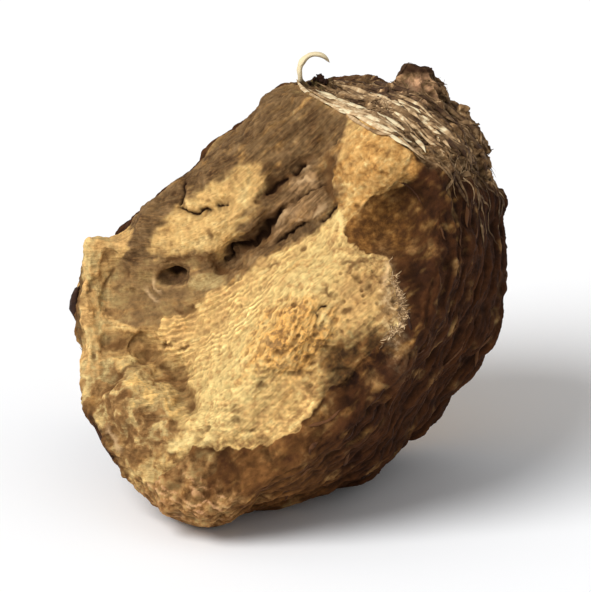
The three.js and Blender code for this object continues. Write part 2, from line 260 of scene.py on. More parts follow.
GROOVE = [
    (-22.2, -6.6), (-20.4, -6.9), (-18.6, -7.3), (-16.6, -8.6), (-15, -9.7), (-13.8, -10.9),
    (-12.8, -12.4), (-12.2, -14.6),
]
BULGE_CREST = [(10, 7.8), (5.6, 3.4), (1.2, -2.2), (-4.6, -8.6), (-9.2, -14.2), (-9.6, -17)]
BULGE_HALF_WIDTH = 4.6
DARK_MARKS = [
    ([(-15.8, 3), (-14.6, 3.9), (-13.2, 3.7), (-11.8, 3.9)], 0.45),
    ([(-12, 3.8), (-10.2, 4.1), (-8.4, 2.8), (-6.8, 1.6)], 0.5),
    ([(-23.4, -0.6), (-22.4, 1), (-21.6, 2.3)], 0.3),
    ([(-24.6, 0.7), (-24.4, -0.5)], 0.35),
    ([(-14.6, -2.6), (-13.2, -3.2), (-11.8, -2.2)], 0.5),
    ([(-15.8, -6.8), (-14.4, -6.9), (-13, -6.6)], 0.2),
    ([(-13.2, -7.6), (-12.2, -7)], 0.25),
    ([(-22.2, -6.4), (-21.2, -6.8), (-20.4, -7.6)], 0.6),
    ([(-21.8, -11.7), (-20.6, -10.8), (-19.2, -10), (-18.2, -9.8)], 0.35),
    ([(-22, -12.8), (-21.7, -13.8)], 0.3),
    ([(-20.2, -16), (-19.7, -18), (-19.9, -20.2)], 0.6),
    ([(-12.4, -20.2), (-11.2, -19.9), (-9.8, -19.5), (-9, -18.9)], 0.7),
    ([(-14.2, -22.4), (-12.4, -22.8)], 0.7),
    ([(4, 16.8), (2.4, 15.5), (1, 14.5), (-0.3, 13.6), (-1.9, 12.4), (-3.4, 11.1)], 0.45),
    ([(0.5, 10.9), (-1.6, 8.8), (-3.2, 6.5), (-5.6, 5.1), (-7, 4)], 0.6),
    ([(5.1, 17.6), (5.4, 15.5), (5.1, 13.4), (5.4, 11.8)], 0.55),
    ([(5.2, 12.2), (6, 11), (6.1, 10.1)], 0.35),
    ([(3.8, 10.6), (3.1, 9.6)], 0.3),
    ([(-2.4, 2.4), (-1.2, 3.3)], 0.22),
    ([(6.2, 3.8), (7.8, 3.5), (8.9, 3.3), (10.4, 3.6)], 0.3),
    ([(9.4, 3.9), (8.4, 2.8), (7.2, 1.6)], 0.4),
    ([(4.9, 0.2), (5.3, -1.4)], 0.4),
]
PALE_MARKS = [
    ([(-19.9, -9.2), (-18.8, -9.1)], 0.35),
    ([(-13.6, -18.9), (-12.2, -18.4), (-11.2, -18.4)], 0.5),
    ([(-10.2, -18.6), (-9.4, -18.1)], 0.35),
    ([(-14.8, -19.7), (-13.4, -19.5)], 0.3),
    ([(3.9, -4.4), (4.6, -3.7), (5, -4.4)], 0.45),
    ([(6.6, 9.6), (6.6, 8.4), (7.1, 7.2)], 0.45),
    ([(13, -3.8), (13.4, -5.4)], 0.35),
]
WORN_MARKS = [
    ([(0.8, 8.4), (1.7, 8.9)], 0.4),
    ([(0.8, 12.9), (2.4, 13.5), (3.6, 13.4)], 0.35),
    ([(2.2, 14.6), (3.4, 15.2)], 0.35),
    ([(2.8, 8.8), (4.2, 10), (5.2, 10.3)], 0.4),
    ([(-2, 7.6), (-0.8, 8.8), (0.2, 9.6)], 0.35),
    ([(-16.9, 1.4), (-16.6, 0.2), (-15.8, -0.6)], 0.2),
    ([(-17.6, 0.3), (-17, -1.2), (-16, -2)], 0.2),
    ([(11.9, 3.4), (12.2, 1.4), (11.7, 0.4)], 0.35),
    ([(-22.2, -17.4), (-21.4, -19), (-20.8, -20.6)], 0.4),
]
SPOTS = [
    (-18.3, -5.7, 0.45), (-17.7, -8.2, 0.6), (-15.2, -6.9, 0.35), (-13.3, -11, 0.5),
    (-12.3, -14.2, 0.45), (-21.4, -11.4, 0.8), (-19.8, 1.7, 0.45), (-19.2, 0, 0.35),
    (-24, -8.4, 0.4), (-18.6, -16.6, 0.45), (-12, -2.2, 0.4), (-8.4, 2.7, 0.6),
    (-10.4, -17.2, 0.45), (-12.6, -17.8, 0.4), (-6.6, -14.6, 0.7), (-6.4, -16.2, 0.45),
    (-9.6, 6.6, 0.7), (-3.9, 10.8, 0.35), (1.6, 5.1, 0.35), (0.8, -2.1, 0.35),
    (0.2, -5.7, 0.35), (3, -8.9, 0.7), (4.5, -7.1, 0.45), (1.6, -10.2, 0.5),
    (-1.6, -10.6, 0.5), (-2.9, -11.6, 0.5), (2.4, -12.3, 0.7), (-1.4, -8.2, 0.4),
    (5, 12.2, 0.4), (5.3, 15.8, 0.5), (7.2, -3, 0.4), (10.3, 0.3, 0.4), (8.6, 1.2, 0.45),
    (-4.4, -17.8, 0.4),
]
SCRAPS = [
    {
        "levels": (0.7, -0.3, -1.3, -2.3, -3.3, -4.4),
        "out": (0.6, 0, -0.3, -0.3, 0.1, 0.6),
        "widths": (0.5, 1.6, 2.1, 2.2, 1.6, 0.5),
    },
    {
        "levels": (-16.8, -17.8, -18.8, -19.8, -20.8, -21.6),
        "out": (0.5, 0.4, 0.3, 0.3, 0.4, 0.5),
        "widths": (0.4, 1.1, 1.5, 1.4, 1.1, 0.4),
    },
]
KNOT = (-13.95, 1.5)
KNOT_HEART = (-14, 1.95)
# Ovals of the front, each with its middle, its half sizes and its turn in degrees
OVALS = {
    "olive": ((-9.9, 0.8), (2.6, 1.2), 15),
    "halo": (KNOT, (2.5, 1.6), 8),
    "orange": ((0.4, -6), (6.2, 4.4), 35),
    "patch": ((8.8, 0), (4, 4.6), 0),
    "edge": ((12.6, -2), (1.1, 5), 8),
    "fringe": ((12.8, -2.6), (1.4, 3.2), 0),
    "bay": ((10.4, 7.8), (4.2, 3.8), 0),
    "knob": ((16.2, 25.4), (2.8, 2.4), 0),
    "stub": ((16.3, 27), (3.6, 2.4), 0),
    "cap": ((16.8, 28.1), (2.8, 1.1), -4),
    "clot": ((3.4, 26.7), (2.4, 1.1), 0),
    "rings": ((-12, -26), (6.5, 3), -20),
}

# The lower edge of the crown, the middle line of its curled shaving, and the lines its strands follow

CROWN_EDGE = [
    (-6, 27.5), (1.5, 25.2), (3.5, 24), (8, 22.2), (10.5, 20.7), (12.6, 18.8), (15, 17.2),
    (17, 15.4), (20, 14.4), (26, 12),
]
CURL = [(1.4, 27.2, -2.2), (1.7, 28.2, -2), (2.9, 29.2, -2), (4.4, 29.1, -2.2), (5.4, 28, -2.5)]
CROWN_GUIDES = [
    {
        "path": [
            (1.2, 26.4), (2.3, 24.7), (6, 23.3), (10.2, 21.2), (13.4, 19.6), (15.4, 17.4),
            (16.8, 15.4),
        ],
        "count": 17, "spread": 0.6, "width": (0.4, 1), "tone": (0.55, 1.05),
    },
    {
        "path": [(9, 24.2), (12.6, 23.2), (15.6, 21.6), (18.2, 19.6), (20.4, 17.4)],
        "count": 15, "spread": 0.6, "width": (0.4, 0.9), "tone": (0.45, 1),
    },
    {
        "path": [(3.6, 26.2), (7.6, 25), (11.4, 23.6), (14.4, 21.4), (16.8, 18.8), (18.2, 16.6)],
        "count": 14, "spread": 1.1, "width": (0.3, 0.7), "tone": (0.1, 0.8),
    },
    {
        "path": [(8, 26.4), (12.4, 25), (16.6, 23), (19.6, 20.8), (22.4, 18.2), (23.6, 16.2)],
        "count": 15, "spread": 1.2, "width": (0.3, 0.7), "tone": (0, 0.4),
    },
    {
        "path": [(16, 24.4), (19.6, 22.6), (22.6, 20), (24.6, 16.4), (25.2, 14)],
        "count": 10, "spread": 1, "width": (0.3, 0.7), "tone": (0, 0.3),
    },
]


def grain_across(u, v):
    """Runs across the grain of the cut face, whose lines turn from level at the left to a slant."""
    bend = np.clip(u + 16, 0, 11)
    return v - bend * bend / 25 - 0.88 * np.maximum(u + 5, 0)


def grain_along(u, v):
    return u + 0.88 * smoothstep(-16, -5, u) * v


def face_depth(p):
    """How far points lie below the plane of the cut face."""
    return FACE_MIDDLE + FACE_SLOPE_U * p[:, 0] + FACE_SLOPE_V * p[:, 1] - p[:, 2]


def rear_height(p):
    """How far points lie in front of the plane of the rear cut."""
    return p[:, 2] - REAR_MIDDLE - REAR_SLOPE_U * p[:, 0] - REAR_SLOPE_V * p[:, 1]


def crown_edge(u):
    """Level where the crown begins."""
    return np.interp(u, *np.transpose(CROWN_EDGE))


def left_edge(p, levels):
    """Indices of the leftmost points at some levels."""
    return [np.argmin(p[:, 0] + 20 * np.abs(p[:, 1] - level)) for level in levels]


def line_distance(p, line):
    """Distance to a line of straight stretches in space."""
    off = np.full(len(p), 99.0)
    for start, end in zip(line, line[1:]):
        a, b = np.array(start), np.array(end)
        t = np.clip((p - a) @ (b - a) / ((b - a) @ (b - a)), 0, 1)
        off = np.minimum(off, np.linalg.norm(p - a - t[:, None] * (b - a), axis=1))
    return off


def curl_share(p):
    """1 on the curled shaving at the top and 0 elsewhere."""
    return 1 - smoothstep(1.0, 1.5, line_distance(p, CURL))


# Meshes


def link(name, data):
    piece = bpy.data.objects.new(name, data)
    bpy.context.scene.collection.objects.link(piece)
    return piece


def with_modifier(piece, kind, **settings):
    """Applies one modifier to a piece."""
    modifier = piece.modifiers.new(kind, kind)
    for key, value in settings.items():
        setattr(modifier, key, value)
    graph = bpy.context.evaluated_depsgraph_get()
    graph.update()
    mesh = bpy.data.meshes.new_from_object(piece.evaluated_get(graph))
    piece.modifiers.clear()
    old = piece.data
    piece.data = mesh
    bpy.data.meshes.remove(old)


@contextmanager
def opened(mesh):
    """A mesh opened for changes, which are kept at the end."""
    work = bmesh.new()
    work.from_mesh(mesh)
    yield work
    work.to_mesh(mesh)
    work.free()


def drop_strays(mesh):
    """Deletes the stray bits that don't hang together with the topmost point."""
    with opened(mesh) as work:
        reached = {max(work.verts, key=lambda vertex: vertex.co.z)}
        kept = set(reached)
        while reached:
            near = {edge.other_vert(vertex) for vertex in reached for edge in vertex.link_edges}
            reached = near - kept
            kept |= reached
        strays = [vertex for vertex in work.verts if vertex not in kept]
        bmesh.ops.delete(work, geom=strays, context="VERTS")


def refine(mesh, chosen):
    """Halves the edges of the chosen polygons."""
    with opened(mesh) as work:
        edges = list({edge for face in work.faces if chosen[face.index] for edge in face.edges})
        bmesh.ops.subdivide_edges(work, edges=edges, cuts=1, use_grid_fill=True)


def read_rows(collection, name):
    """A vector of each of some vertices or normals, as rows."""
    flat = np.zeros(len(collection) * 3)
    collection.foreach_get(name, flat)
    return flat.reshape(-1, 3)


def read_points(mesh):
    return read_rows(mesh.vertices, "co")


def read_normals(mesh):
    return read_rows(mesh.vertex_normals, "vector")


def read_number(mesh, name):
    values = np.zeros(len(mesh.vertices))
    mesh.attributes[name].data.foreach_get("value", values)
    return values


def move_points(mesh, points):
    """Puts a mesh's points in new places, and gives their new normals in the front view."""
    mesh.vertices.foreach_set("co", np.ascontiguousarray(points, float).ravel())
    mesh.update()
    return turned(read_normals(mesh))


def store(mesh, name, values):
    """Keeps a number or a vector for each vertex, for the materials to read."""
    values = np.ascontiguousarray(values, float)
    kind, part = ("FLOAT", "value") if values.ndim == 1 else ("FLOAT_VECTOR", "vector")
    mesh.attributes.new(name, kind, "POINT").data.foreach_set(part, values.ravel())


def polygon_means(mesh, values):
    """The mean of a vertex value over each polygon."""
    corners = np.zeros(len(mesh.loops), np.int32)
    mesh.loops.foreach_get("vertex_index", corners)
    starts = np.zeros(len(mesh.polygons), np.int32)
    mesh.polygons.foreach_get("loop_start", starts)
    return np.add.reduceat(values[corners], starts) / np.diff(np.append(starts, len(corners)))


def hollowness(mesh, points, normals, rounds):
    """How far each point lies below the smoothed surface round it, in millimetres."""
    flat = np.zeros(len(mesh.edges) * 2, np.int32)
    mesh.edges.foreach_get("vertices", flat)
    a, b = flat.reshape(-1, 2).T
    total = len(points)
    neighbours = np.maximum(np.bincount(a, minlength=total) + np.bincount(b, minlength=total), 1)
    smooth = points.copy()
    for _ in range(rounds):
        for axis in range(3):
            column = smooth[:, axis]
            near = np.bincount(a, column[b], total) + np.bincount(b, column[a], total)
            smooth[:, axis] = 0.3 * column + 0.7 * near / neighbours
    return ((smooth - points) * normals).sum(axis=1)


def part_of(whole, name, kept):
    """A new piece with only the kept polygons, shaded as the whole is."""
    mesh = whole.data.copy()
    with opened(mesh) as work:
        gone = [face for face in work.faces if not kept[face.index]]
        bmesh.ops.delete(work, geom=gone, context="FACES")
    mesh.shade_smooth()
    shading = mesh.attributes["shading"]
    mesh.normals_split_custom_set_from_vertices(read_rows(shading.data, "vector"))
    mesh.attributes.remove(mesh.attributes["shading"])
    return link(name, mesh)


# Where each kind of surface is


def frayed(mask, streaks, height, low=0.3, high=0.7):
    """A soft mask whose edge is frayed by noise."""
    return smoothstep(low, high, mask + height * streaks)


def fading(share, reach):
    """1 along a line, falling to 0.3 at its two ends."""
    return 0.3 + 0.7 * smoothstep(0, reach, share) * (1 - smoothstep(1 - reach, 1, share))


def marked(u, v, marks, ragged):
    """1 on some short lines of the front and 0 beside them."""
    total = np.zeros(len(u))
    for path, width in marks:
        away, share = path_distance(u, v, path)
        total = np.maximum(total, fading(share, 0.2) * bell(away / (width * (1 + ragged))))
    return total


def left_bark(p):
    """1 where some bark is left on the wood of the left edge, round its dark scraps."""
    total = np.zeros(len(p))
    ragged = layered(p / 1.8, 3, 151)
    for scrap in SCRAPS:
        away = line_distance(p, p[left_edge(p, scrap["levels"])]) + 1.5 * ragged
        total = np.maximum(total, 1 - smoothstep(1.4, 3.2, away))
    return total


def surface_regions(p, normal):
    """Where the surface is cut wood, bark, rear cut, crown and so on, each from 0 to 1."""
    w = p[:, 2]
    u, v = pushed(p, (2.8, 0.6, 11), (0.9, 0.2, 15))
    along, across = grain_along(p[:, 0], p[:, 1]), grain_across(p[:, 0], p[:, 1])
    streaks = drawn(along / 3, across / 0.8, w / 2, 3, 21) + 0.5 * layered(p / 1.6, 3, 25)
    patches = layered(p / 2.6, 4, 35)
    blurred = 0.9 * layered(p / 0.9, 3, 27)
    ragged = np.clip(1.4 * layered(p / 0.8, 3, 29), -0.6, 1.0)
    front = 1 - smoothstep(5.5, 9.0, face_depth(p) + 0.8 * layered(p / 3, 2, 31))

    def torn(polygon, soft, height, *limits):
        """Inside of a polygon whose edge is frayed along the grain."""
        return frayed(inside(u, v, polygon, soft), streaks, height, *limits)

    face = torn(FACE, 2.4, 0.3) * front
    rear = smoothstep(0.55, 0.85, -normal[:, 2] + 0.1 * layered(p / 2.5, 2, 41))
    rear = rear * (1 - smoothstep(3.5, 7.0, rear_height(p)))
    rim = inside(u, v, FACE, 1.6) * (1 - inside(u, v, FACE_CORE, 3.2)) * front
    window = frayed(inside(u, v, WINDOW, 4), streaks + 0.6 * patches, 0.35, 0.25, 0.8)
    scuffed = frayed(inside(u, v, SCUFFED, 5.5), patches, 0.9, 0.2, 0.8)
    crest, _ = path_distance(u, v, BULGE_CREST)
    groove, _ = path_distance(u, v, GROOVE)
    spots = np.zeros(len(p))
    for at_u, at_v, radius in SPOTS:
        away = np.hypot(u - at_u, v - at_v) / radius + blurred
        spots = np.maximum(spots, bell(np.maximum(away, 0)))
    return {
        "face": face,
        "rear": rear,
        "bark": np.clip(1 - face - rear, 0, 1),
        "rim": rim,
        # Reddish rim, partly its own colour and partly painted shade where the face curves away
        "rim_red_and_shade": torn(RIM_SHADE, 5.5, 0.3, 0.1, 0.9) * front,
        "window": window * face,
        "weathered": torn(WEATHERED_BAND, 2.2, 0.45) * (1 - window) * face,
        "hollow": torn(HOLLOW, 1.8, 0.3) * face,
        "olive": frayed(oval(u, v, "olive"), streaks, 0.4) * face,
        "halo": np.clip(1.7 * oval(u, v, "halo"), 0, 1) * face,
        "lump": torn(LUMP, 3, 0.3) * face,
        "lower": torn(LOWER_LEFT, 3, 0.4) * face,
        "ribs": torn(RIBS, 1.6, 0.3) * face,
        "lobe": torn(LOBE, 5.5, 0.6, 0.05, 0.95) * front,
        # The bulge's crest, where the cut wood gets its cream and a painted highlight
        "bulge": bell(crest / BULGE_HALF_WIDTH) * face,
        "groove": bell(groove / (1.3 + 0.5 * streaks)) * face,
        "orange": frayed(oval(u, v, "orange"), streaks, 0.4, 0.1, 0.8) * face,
        "edge": oval(u, v, "edge") * front,
        "patch": oval(u, v, "patch") * face,
        "strip": (1 - smoothstep(-22.8, -20.6, u)) * smoothstep(-13, -9, v) * face,
        "bay": np.clip(1.6 * oval(u, v, "bay"), 0, 1) * front,
        "rusty": (1 - smoothstep(-2, 9, u)) * (1 - smoothstep(-14, -9, v)) * smoothstep(-16, -6, w),
        "scuffed": scuffed * smoothstep(-8, 0, w),
        "clumps": rim * (1 - smoothstep(-13, -9, v)) * (1 - smoothstep(-6, 0, u)),
        "crown": smoothstep(-0.7, 1.4, v - crown_edge(u)) * smoothstep(-13, -6, w),
        "knob": oval(u, v, "knob") * smoothstep(-5, -1, w),
        "cap": np.clip(2.2 * oval(u, v, "cap"), 0, 1) * smoothstep(-8, -4, w),
        "clot": oval(u, v, "clot") * (1 - smoothstep(-2, 0.5, w)),
        "spots": spots * front,
        "dark": marked(u, v, DARK_MARKS, ragged) * face,
        "light": marked(u, v, PALE_MARKS, ragged) * face,
        "worn": marked(u, v, WORN_MARKS, ragged) * face,
        "left_bark": left_bark(p),
        "curl": curl_share(p),
    }


# Relief

# Heights and depths, in millimetres
KNOT_DEPTH, KNOT_RIM, HEART_DEPTH, GROOVE_DEPTH = 0.7, 0.25, 0.9, 0.5
SPOT_DEPTH, MARK_HEIGHT, SWELLS, BUMPS = 0.3, 0.15, 0.5, 0.35
COMB_HEIGHT, GRAIN_HEIGHT, BRUSH_HEIGHT, CLUMP_HEIGHT = 0.2, 0.26, 0.35, 0.4
FOLDS, BARK_LUMPS, FINE_FOLDS, BARK_BUMPS, RING_HEIGHT, SCUFF_HEIGHT = 0.9, 0.9, 0.7, 0.3, 0.35, 0.5
REAR_RINGS, REAR_BUMPS, REAR_CRACK_DEPTH = 0.09, 0.3, 1.3
FINE_BUMPS, GRAINS, PORE_DEPTH = 0.1, 0.05, 0.35
LEVEL_LINES, UPRIGHT_LINES, FIBRE_HEIGHT = 0.2, 0.13, 0.8
# Directions of the rear cut's cracks from its pith, in radians, and how far they reach
REAR_CRACKS = ((0.5, 13.0), (2.4, 15.0), (4.2, 11.0), (5.4, 9.0))


def strokes(p, degrees, length, width, seed):
    """Noise drawn out along one direction of the front view."""
    c, s = math.cos(math.radians(degrees)), math.sin(math.radians(degrees))
    u, v, w = p.T
    return drawn((u * c + v * s) / length, (v * c - u * s) / width, w / 2, 3, seed)


def bark_stretch(p, along, around):
    """Points squeezed along the root's axis and drawn out around it, for rings round the root."""
    axial = p @ ROOT_AXIS
    return np.outer(axial * (1 / along - 1 / around), ROOT_AXIS) + p / around


def creases(p, seed):
    """Height of rounded swellings with sharp valleys between them."""
    return np.abs(layered(p, 2, seed)) - 0.25


def main_relief(p, region):
    """Height of the cracks, folds and wrinkles that are clear from a step away, and their masks."""
    u, v, w = p.T
    face, rear = region["face"], region["rear"]
    height = np.zeros(len(p))
    wu, wv = pushed(p, (1.3, 0.35, 51), (0.45, 0.11, 55))
    opening, crack_valley_shade = np.zeros(len(p)), np.zeros(len(p))
    for index, (path, width, depth) in enumerate(CRACKS):
        away, share = path_distance(wu, wv, path)
        narrow = 0.6 * width * (1 + 0.7 * layered(p / 1.4, 2, 60 + index))
        cut = bell(away / np.maximum(narrow, 0.08)) * fading(share, 0.15) * face
        valley = bell(away / (2.6 * width)) * fading(share, 0.15) * face
        height -= depth * (0.7 * cut + 0.3 * valley)
        opening = np.maximum(opening, cut)
        # The valley beside each crack, darkened in the material as painted shade
        crack_valley_shade = np.maximum(crack_valley_shade, valley)
    # Knot hole with a raised lower rim, and the open heart of the knot
    hu, hv = wu - KNOT[0], wv - KNOT[1]
    ring = np.hypot(hu / 1.8, (hv - 0.1 * hu) / 1.05)
    knot = bell(ring, 4) * face
    heart = np.hypot((wu - KNOT_HEART[0]) / 0.95, (wv - KNOT_HEART[1]) / 0.55)
    height -= KNOT_DEPTH * knot + HEART_DEPTH * bell(heart, 3) * face
    height += KNOT_RIM * bell((ring - 1.5) / 0.3) * (1 - smoothstep(-1.0, 1.5, hv)) * face
    opening = np.maximum(opening, bell(heart / 0.9, 3) * face)
    # Groove left of the bulge, pits and marks
    height -= GROOVE_DEPTH * region["groove"] * (1 + 0.8 * layered(p / 1.4, 2, 65))
    height -= SPOT_DEPTH * region["spots"]
    height += MARK_HEIGHT * (region["light"] + region["worn"] - region["dark"])
    # Swells and bumps of the face
    calm = 1 - 0.7 * region["hollow"] - 0.3 * region["lump"]
    height += face * calm * (SWELLS * layered(p / 3.6, 2, 66) + BUMPS * layered(p / 1.5, 3, 67))
    # Combed ridges of the grain, and long low ridges all over the face
    across = grain_across(wu, wv)
    comb = inside(u, v, COMBED, 3) * (0.55 + 0.45 * layered(p / 2.2, 2, 73))
    ridge = 0.5 + 0.5 * np.sin(2 * np.pi * (across / 0.7 + 0.7 * layered(p / 2.6, 2, 71)))
    height += COMB_HEIGHT * comb * (ridge**1.4 - 0.4)
    grain = drawn(grain_along(u, v) / 6, across / 1.3, w / 3, 4, 81)
    height += face * (GRAIN_HEIGHT - 0.06 * region["weathered"]) * grain
    # Short strokes of the orange part and of the lump at the lower left, and clumps by the lower rim
    brush = region["orange"] * strokes(p, 66, 1.8, 0.45, 85)
    brush = brush + 0.7 * region["lump"] * strokes(p, 12, 2.2, 0.45, 83)
    height += BRUSH_HEIGHT * brush
    height += CLUMP_HEIGHT * region["clumps"] * layered(p / 1.8, 3, 87)
    height += BUMPS * region["lower"] * layered(p / 1.9, 3, 89)
    # Bark: wrinkles round the root, and rings near its bottom
    bark = region["bark"] * (1 - 0.95 * smoothstep(0, 0.5, region["bay"]))
    wrinkled = smoothstep(-0.35, 0.45, layered(p / 9, 2, 99))
    rough = FOLDS * creases(bark_stretch(p, 2.2, 10), 91) + BARK_LUMPS * creases(p / 6, 97)
    rough = rough + FINE_FOLDS * creases(bark_stretch(p, 0.8, 4.5) + 3.1, 95) * wrinkled
    height += bark * (rough + BARK_BUMPS * layered(p / 1.5, 3, 98))
    ringed = bark * oval(u, v, "rings") * smoothstep(-8, 0, w)
    rings = np.maximum(np.sin(2 * np.pi * (v + 0.42 * u + 1.6 * layered(p / 2.4, 3, 93))), 0)
    ringed = ringed * rings * smoothstep(-0.3, 0.3, layered(p / 1.6, 2, 94))
    height += RING_HEIGHT * ringed
    height += SCUFF_HEIGHT * region["scuffed"] * bark * layered(p / 1.5, 3, 96)
    # Rear cut: rings round the pith and a few cracks from it
    ru = u + 2.0 + 0.8 * layered(p / 4, 2, 101)
    rv = v - 2.0 + 0.8 * layered(p / 4, 2, 103)
    away = np.hypot(ru, rv)
    height += rear * REAR_RINGS * np.sin(2 * np.pi * away / 1.3 + 3 * layered(p / 4, 3, 105))
    height += rear * REAR_BUMPS * layered(p / 2.2, 3, 106)
    turn = np.arctan2(rv, ru) - 0.05 * away * noise(p / 5, 107)
    for at, reach in REAR_CRACKS:
        aside = np.abs(np.angle(np.exp(1j * (turn - at)))) * away
        cut = bell(aside / 0.4, 4) * (1 - smoothstep(0.5 * reach, reach, away)) * rear
        height -= REAR_CRACK_DEPTH * cut
        opening = np.maximum(opening, cut)
    masks = {"opening": opening, "crack_valley_shade": crack_valley_shade, "comb": comb * ridge, "knot": knot}
    return height, {**masks, "ringed": ringed, "brush": brush}


def fine_relief(p, region):
    """Height of the small unevenness that makes the surface dry and rough, and its masks."""
    u, v, w = p.T
    height = FINE_BUMPS * layered(p / 1.2, 3, 111) + GRAINS * noise(p / 0.4, 115)
    often = 0.15 + 0.6 * np.clip(region["patch"] + 0.7 * region["orange"], 0, 1)
    pores = smoothstep(0.7, 0.9, pits(p, 1.2, 121)) * often * region["face"]
    height -= PORE_DEPTH * pores
    # Short level striations on the lower half of the bulge, and upright ones of the strip at the left
    low = inside(u, v, STRIATED, 2.5)
    height += LEVEL_LINES * low * drawn(u / 2.4, v / 0.5, w / 3, 2, 131) * region["face"]
    height += UPRIGHT_LINES * region["strip"] * drawn(u / 0.6, v / 4, w / 2, 2, 135)
    # Fibres of the crown run from the upper left to the lower right
    fibrous = region["crown"] * (1 - 0.7 * np.clip(region["knob"] + region["cap"], 0, 1))
    height += fibrous * FIBRE_HEIGHT * (np.abs(strokes(p, -32, 6, 0.9, 141)) * 1.6 - 0.7)
    return height, {"pores": pores, "striated": low}


# The finer surface

# Rounds of smoothing before and after the cut face is made finer, and its share on thin parts
SMOOTHING_ROUNDS, SECOND_ROUNDS = 22, 6
STUB_SMOOTHING, CURL_SMOOTHING = 0.3, 0.2
# Rounds of smoothing against which small dips and broad hollows are measured, for the painted shade
# in them and the painted highlight on ridges
DIP_ROUNDS, DEEP_ROUNDS = 8, 60
# Heights above the floor between which the relief sets in
RELIEF_FROM, RELIEF_FULL = 0.2, 2.2
# Where the pieces part: depths behind the cut face and before the rear cut, and a slanted level
FACE_EDGE, REAR_EDGE, UPPER_LEVEL, UPPER_SLOPE = 7.0, 4.0, 4.0, 0.35


def surface_parts(mesh, p):
    """Which polygons make up each piece of the surface, split along plain lines."""
    u, v = p[:, 0], p[:, 1]
    front = inside(u, v, FACE, 0.5) * (face_depth(p) < FACE_EDGE)
    cut = polygon_means(mesh, front) > 0.5
    upper = polygon_means(mesh, v - UPPER_SLOPE * u) > UPPER_LEVEL
    rear = (polygon_means(mesh, rear_height(p)) < REAR_EDGE) & ~cut
    return {
        "upper_cut_face": cut & upper,
        "lower_cut_face": cut & ~upper,
        "rear_cut": rear,
        "bark": ~cut & ~rear,
    }


def smooth_solid():
    """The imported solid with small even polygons, smoothed, and finer on the cut face."""
    whole = link("whole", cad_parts["root_chunk"].data.copy())
    whole.data.materials.clear()
    with_modifier(whole, "REMESH", mode="VOXEL", voxel_size=VOXEL * MM)
    drop_strays(whole.data)
    p = to_view(read_points(whole.data))
    thin = curl_share(p) > 0.5
    stub = (oval(p[:, 0], p[:, 1], "stub") > 0.4) & ~thin
    group = whole.vertex_groups.new(name="smooth")
    for chosen, weight in ((~thin & ~stub, 1), (stub, STUB_SMOOTHING), (thin, CURL_SMOOTHING)):
        group.add(np.nonzero(chosen)[0].tolist(), weight, "REPLACE")
    evenly = {"factor": 0.5, "vertex_group": "smooth"}
    with_modifier(whole, "SMOOTH", iterations=SMOOTHING_ROUNDS, **evenly)
    p = to_view(read_points(whole.data))
    region = surface_regions(p, turned(read_normals(whole.data)))
    refine(whole.data, polygon_means(whole.data, region["face"]) > 0.05)
    with_modifier(whole, "SMOOTH", iterations=SECOND_ROUNDS, **evenly)
    return whole


def chunk_surface():
    """The chunk's whole surface with its relief, and the pieces that it is parted into."""
    whole = smooth_solid()
    mesh = whole.data
    p = to_view(read_points(mesh))
    normal = turned(read_normals(mesh))
    region = surface_regions(p, normal)
    lifted = smoothstep(RELIEF_FROM, RELIEF_FULL, read_points(mesh)[:, 2] / MM)
    calm = (lifted * (1 - 0.9 * region["curl"]))[:, None]
    height, masks = main_relief(p, region)
    moved = p + normal * height[:, None] * calm
    normal = move_points(mesh, to_world(moved))
    height, fine_masks = fine_relief(p, region)
    moved = moved + normal * height[:, None] * calm
    points = to_world(moved)
    points[:, 2] = np.maximum(points[:, 2], 0)
    normal = move_points(mesh, points)
    across, along = grain_across(p[:, 0], p[:, 1]), grain_along(p[:, 0], p[:, 1])
    places = {
        # How far points lie below the smoothed surface, which the material turns into painted shade
        # and painted highlight
        "dip_light_and_shade": hollowness(mesh, moved, normal, DIP_ROUNDS),
        "deep_light_and_shade": hollowness(mesh, moved, normal, DEEP_ROUNDS),
        "view": p,
        "grain": np.stack((along, across, p[:, 2]), axis=1),
        "rings": bark_stretch(p, 1.0, 5.0),
        "shading": read_normals(mesh),
    }
    for name, values in {**region, **masks, **fine_masks, **places}.items():
        store(mesh, name, values)
    return whole, [part_of(whole, name, kept) for name, kept in surface_parts(mesh, p).items()]


# Strands, hairs and scales that lie on the surface

TUBE_SIDES = 6
# Strands along the crown's guide lines: steps, lengths, flatness, rise of their ends and height
STRAND_STRIDE, STRAND_LENGTHS, FEWEST_POINTS = 0.45, (4, 13), 5
STRAND_FLATNESS, STRAND_LIFT, STRAND_TAPER, STRAND_HEIGHT = 0.4, 0.7, 6, 0.12
# Depth in front of the whole chunk, where the lines of sight start
IN_FRONT = 60
# Shifts the bands of colour along a strand by its tone, so that no two strands are alike
TONE_SHIFT = 37
# Lowest points of strands, and lowest places where scales start, above the floor
LOWEST_STRAND, LOWEST_SCALE = 0.05, 3


def surface_tree(mesh):
    points = to_view(read_points(mesh))
    polygons = [tuple(polygon.vertices) for polygon in mesh.polygons]
    return BVHTree.FromPolygons([Vector(p) for p in points], polygons)


def unit(vectors):
    """Rows of vectors brought to length one."""
    return vectors / np.maximum(np.linalg.norm(vectors, axis=1), 1e-9)[:, None]


def lengths_along(points):
    """How far along a path each of its points lies."""
    return np.concatenate(([0.0], np.cumsum(np.linalg.norm(np.diff(points, axis=0), axis=1))))


def even_out(rows, rounds, weight=1):
    """Evens out a path or its normals in place, but for its two ends."""
    for _ in range(rounds):
        rows[1:-1] = (rows[:-2] + weight * rows[1:-1] + rows[2:]) / (2 + weight)


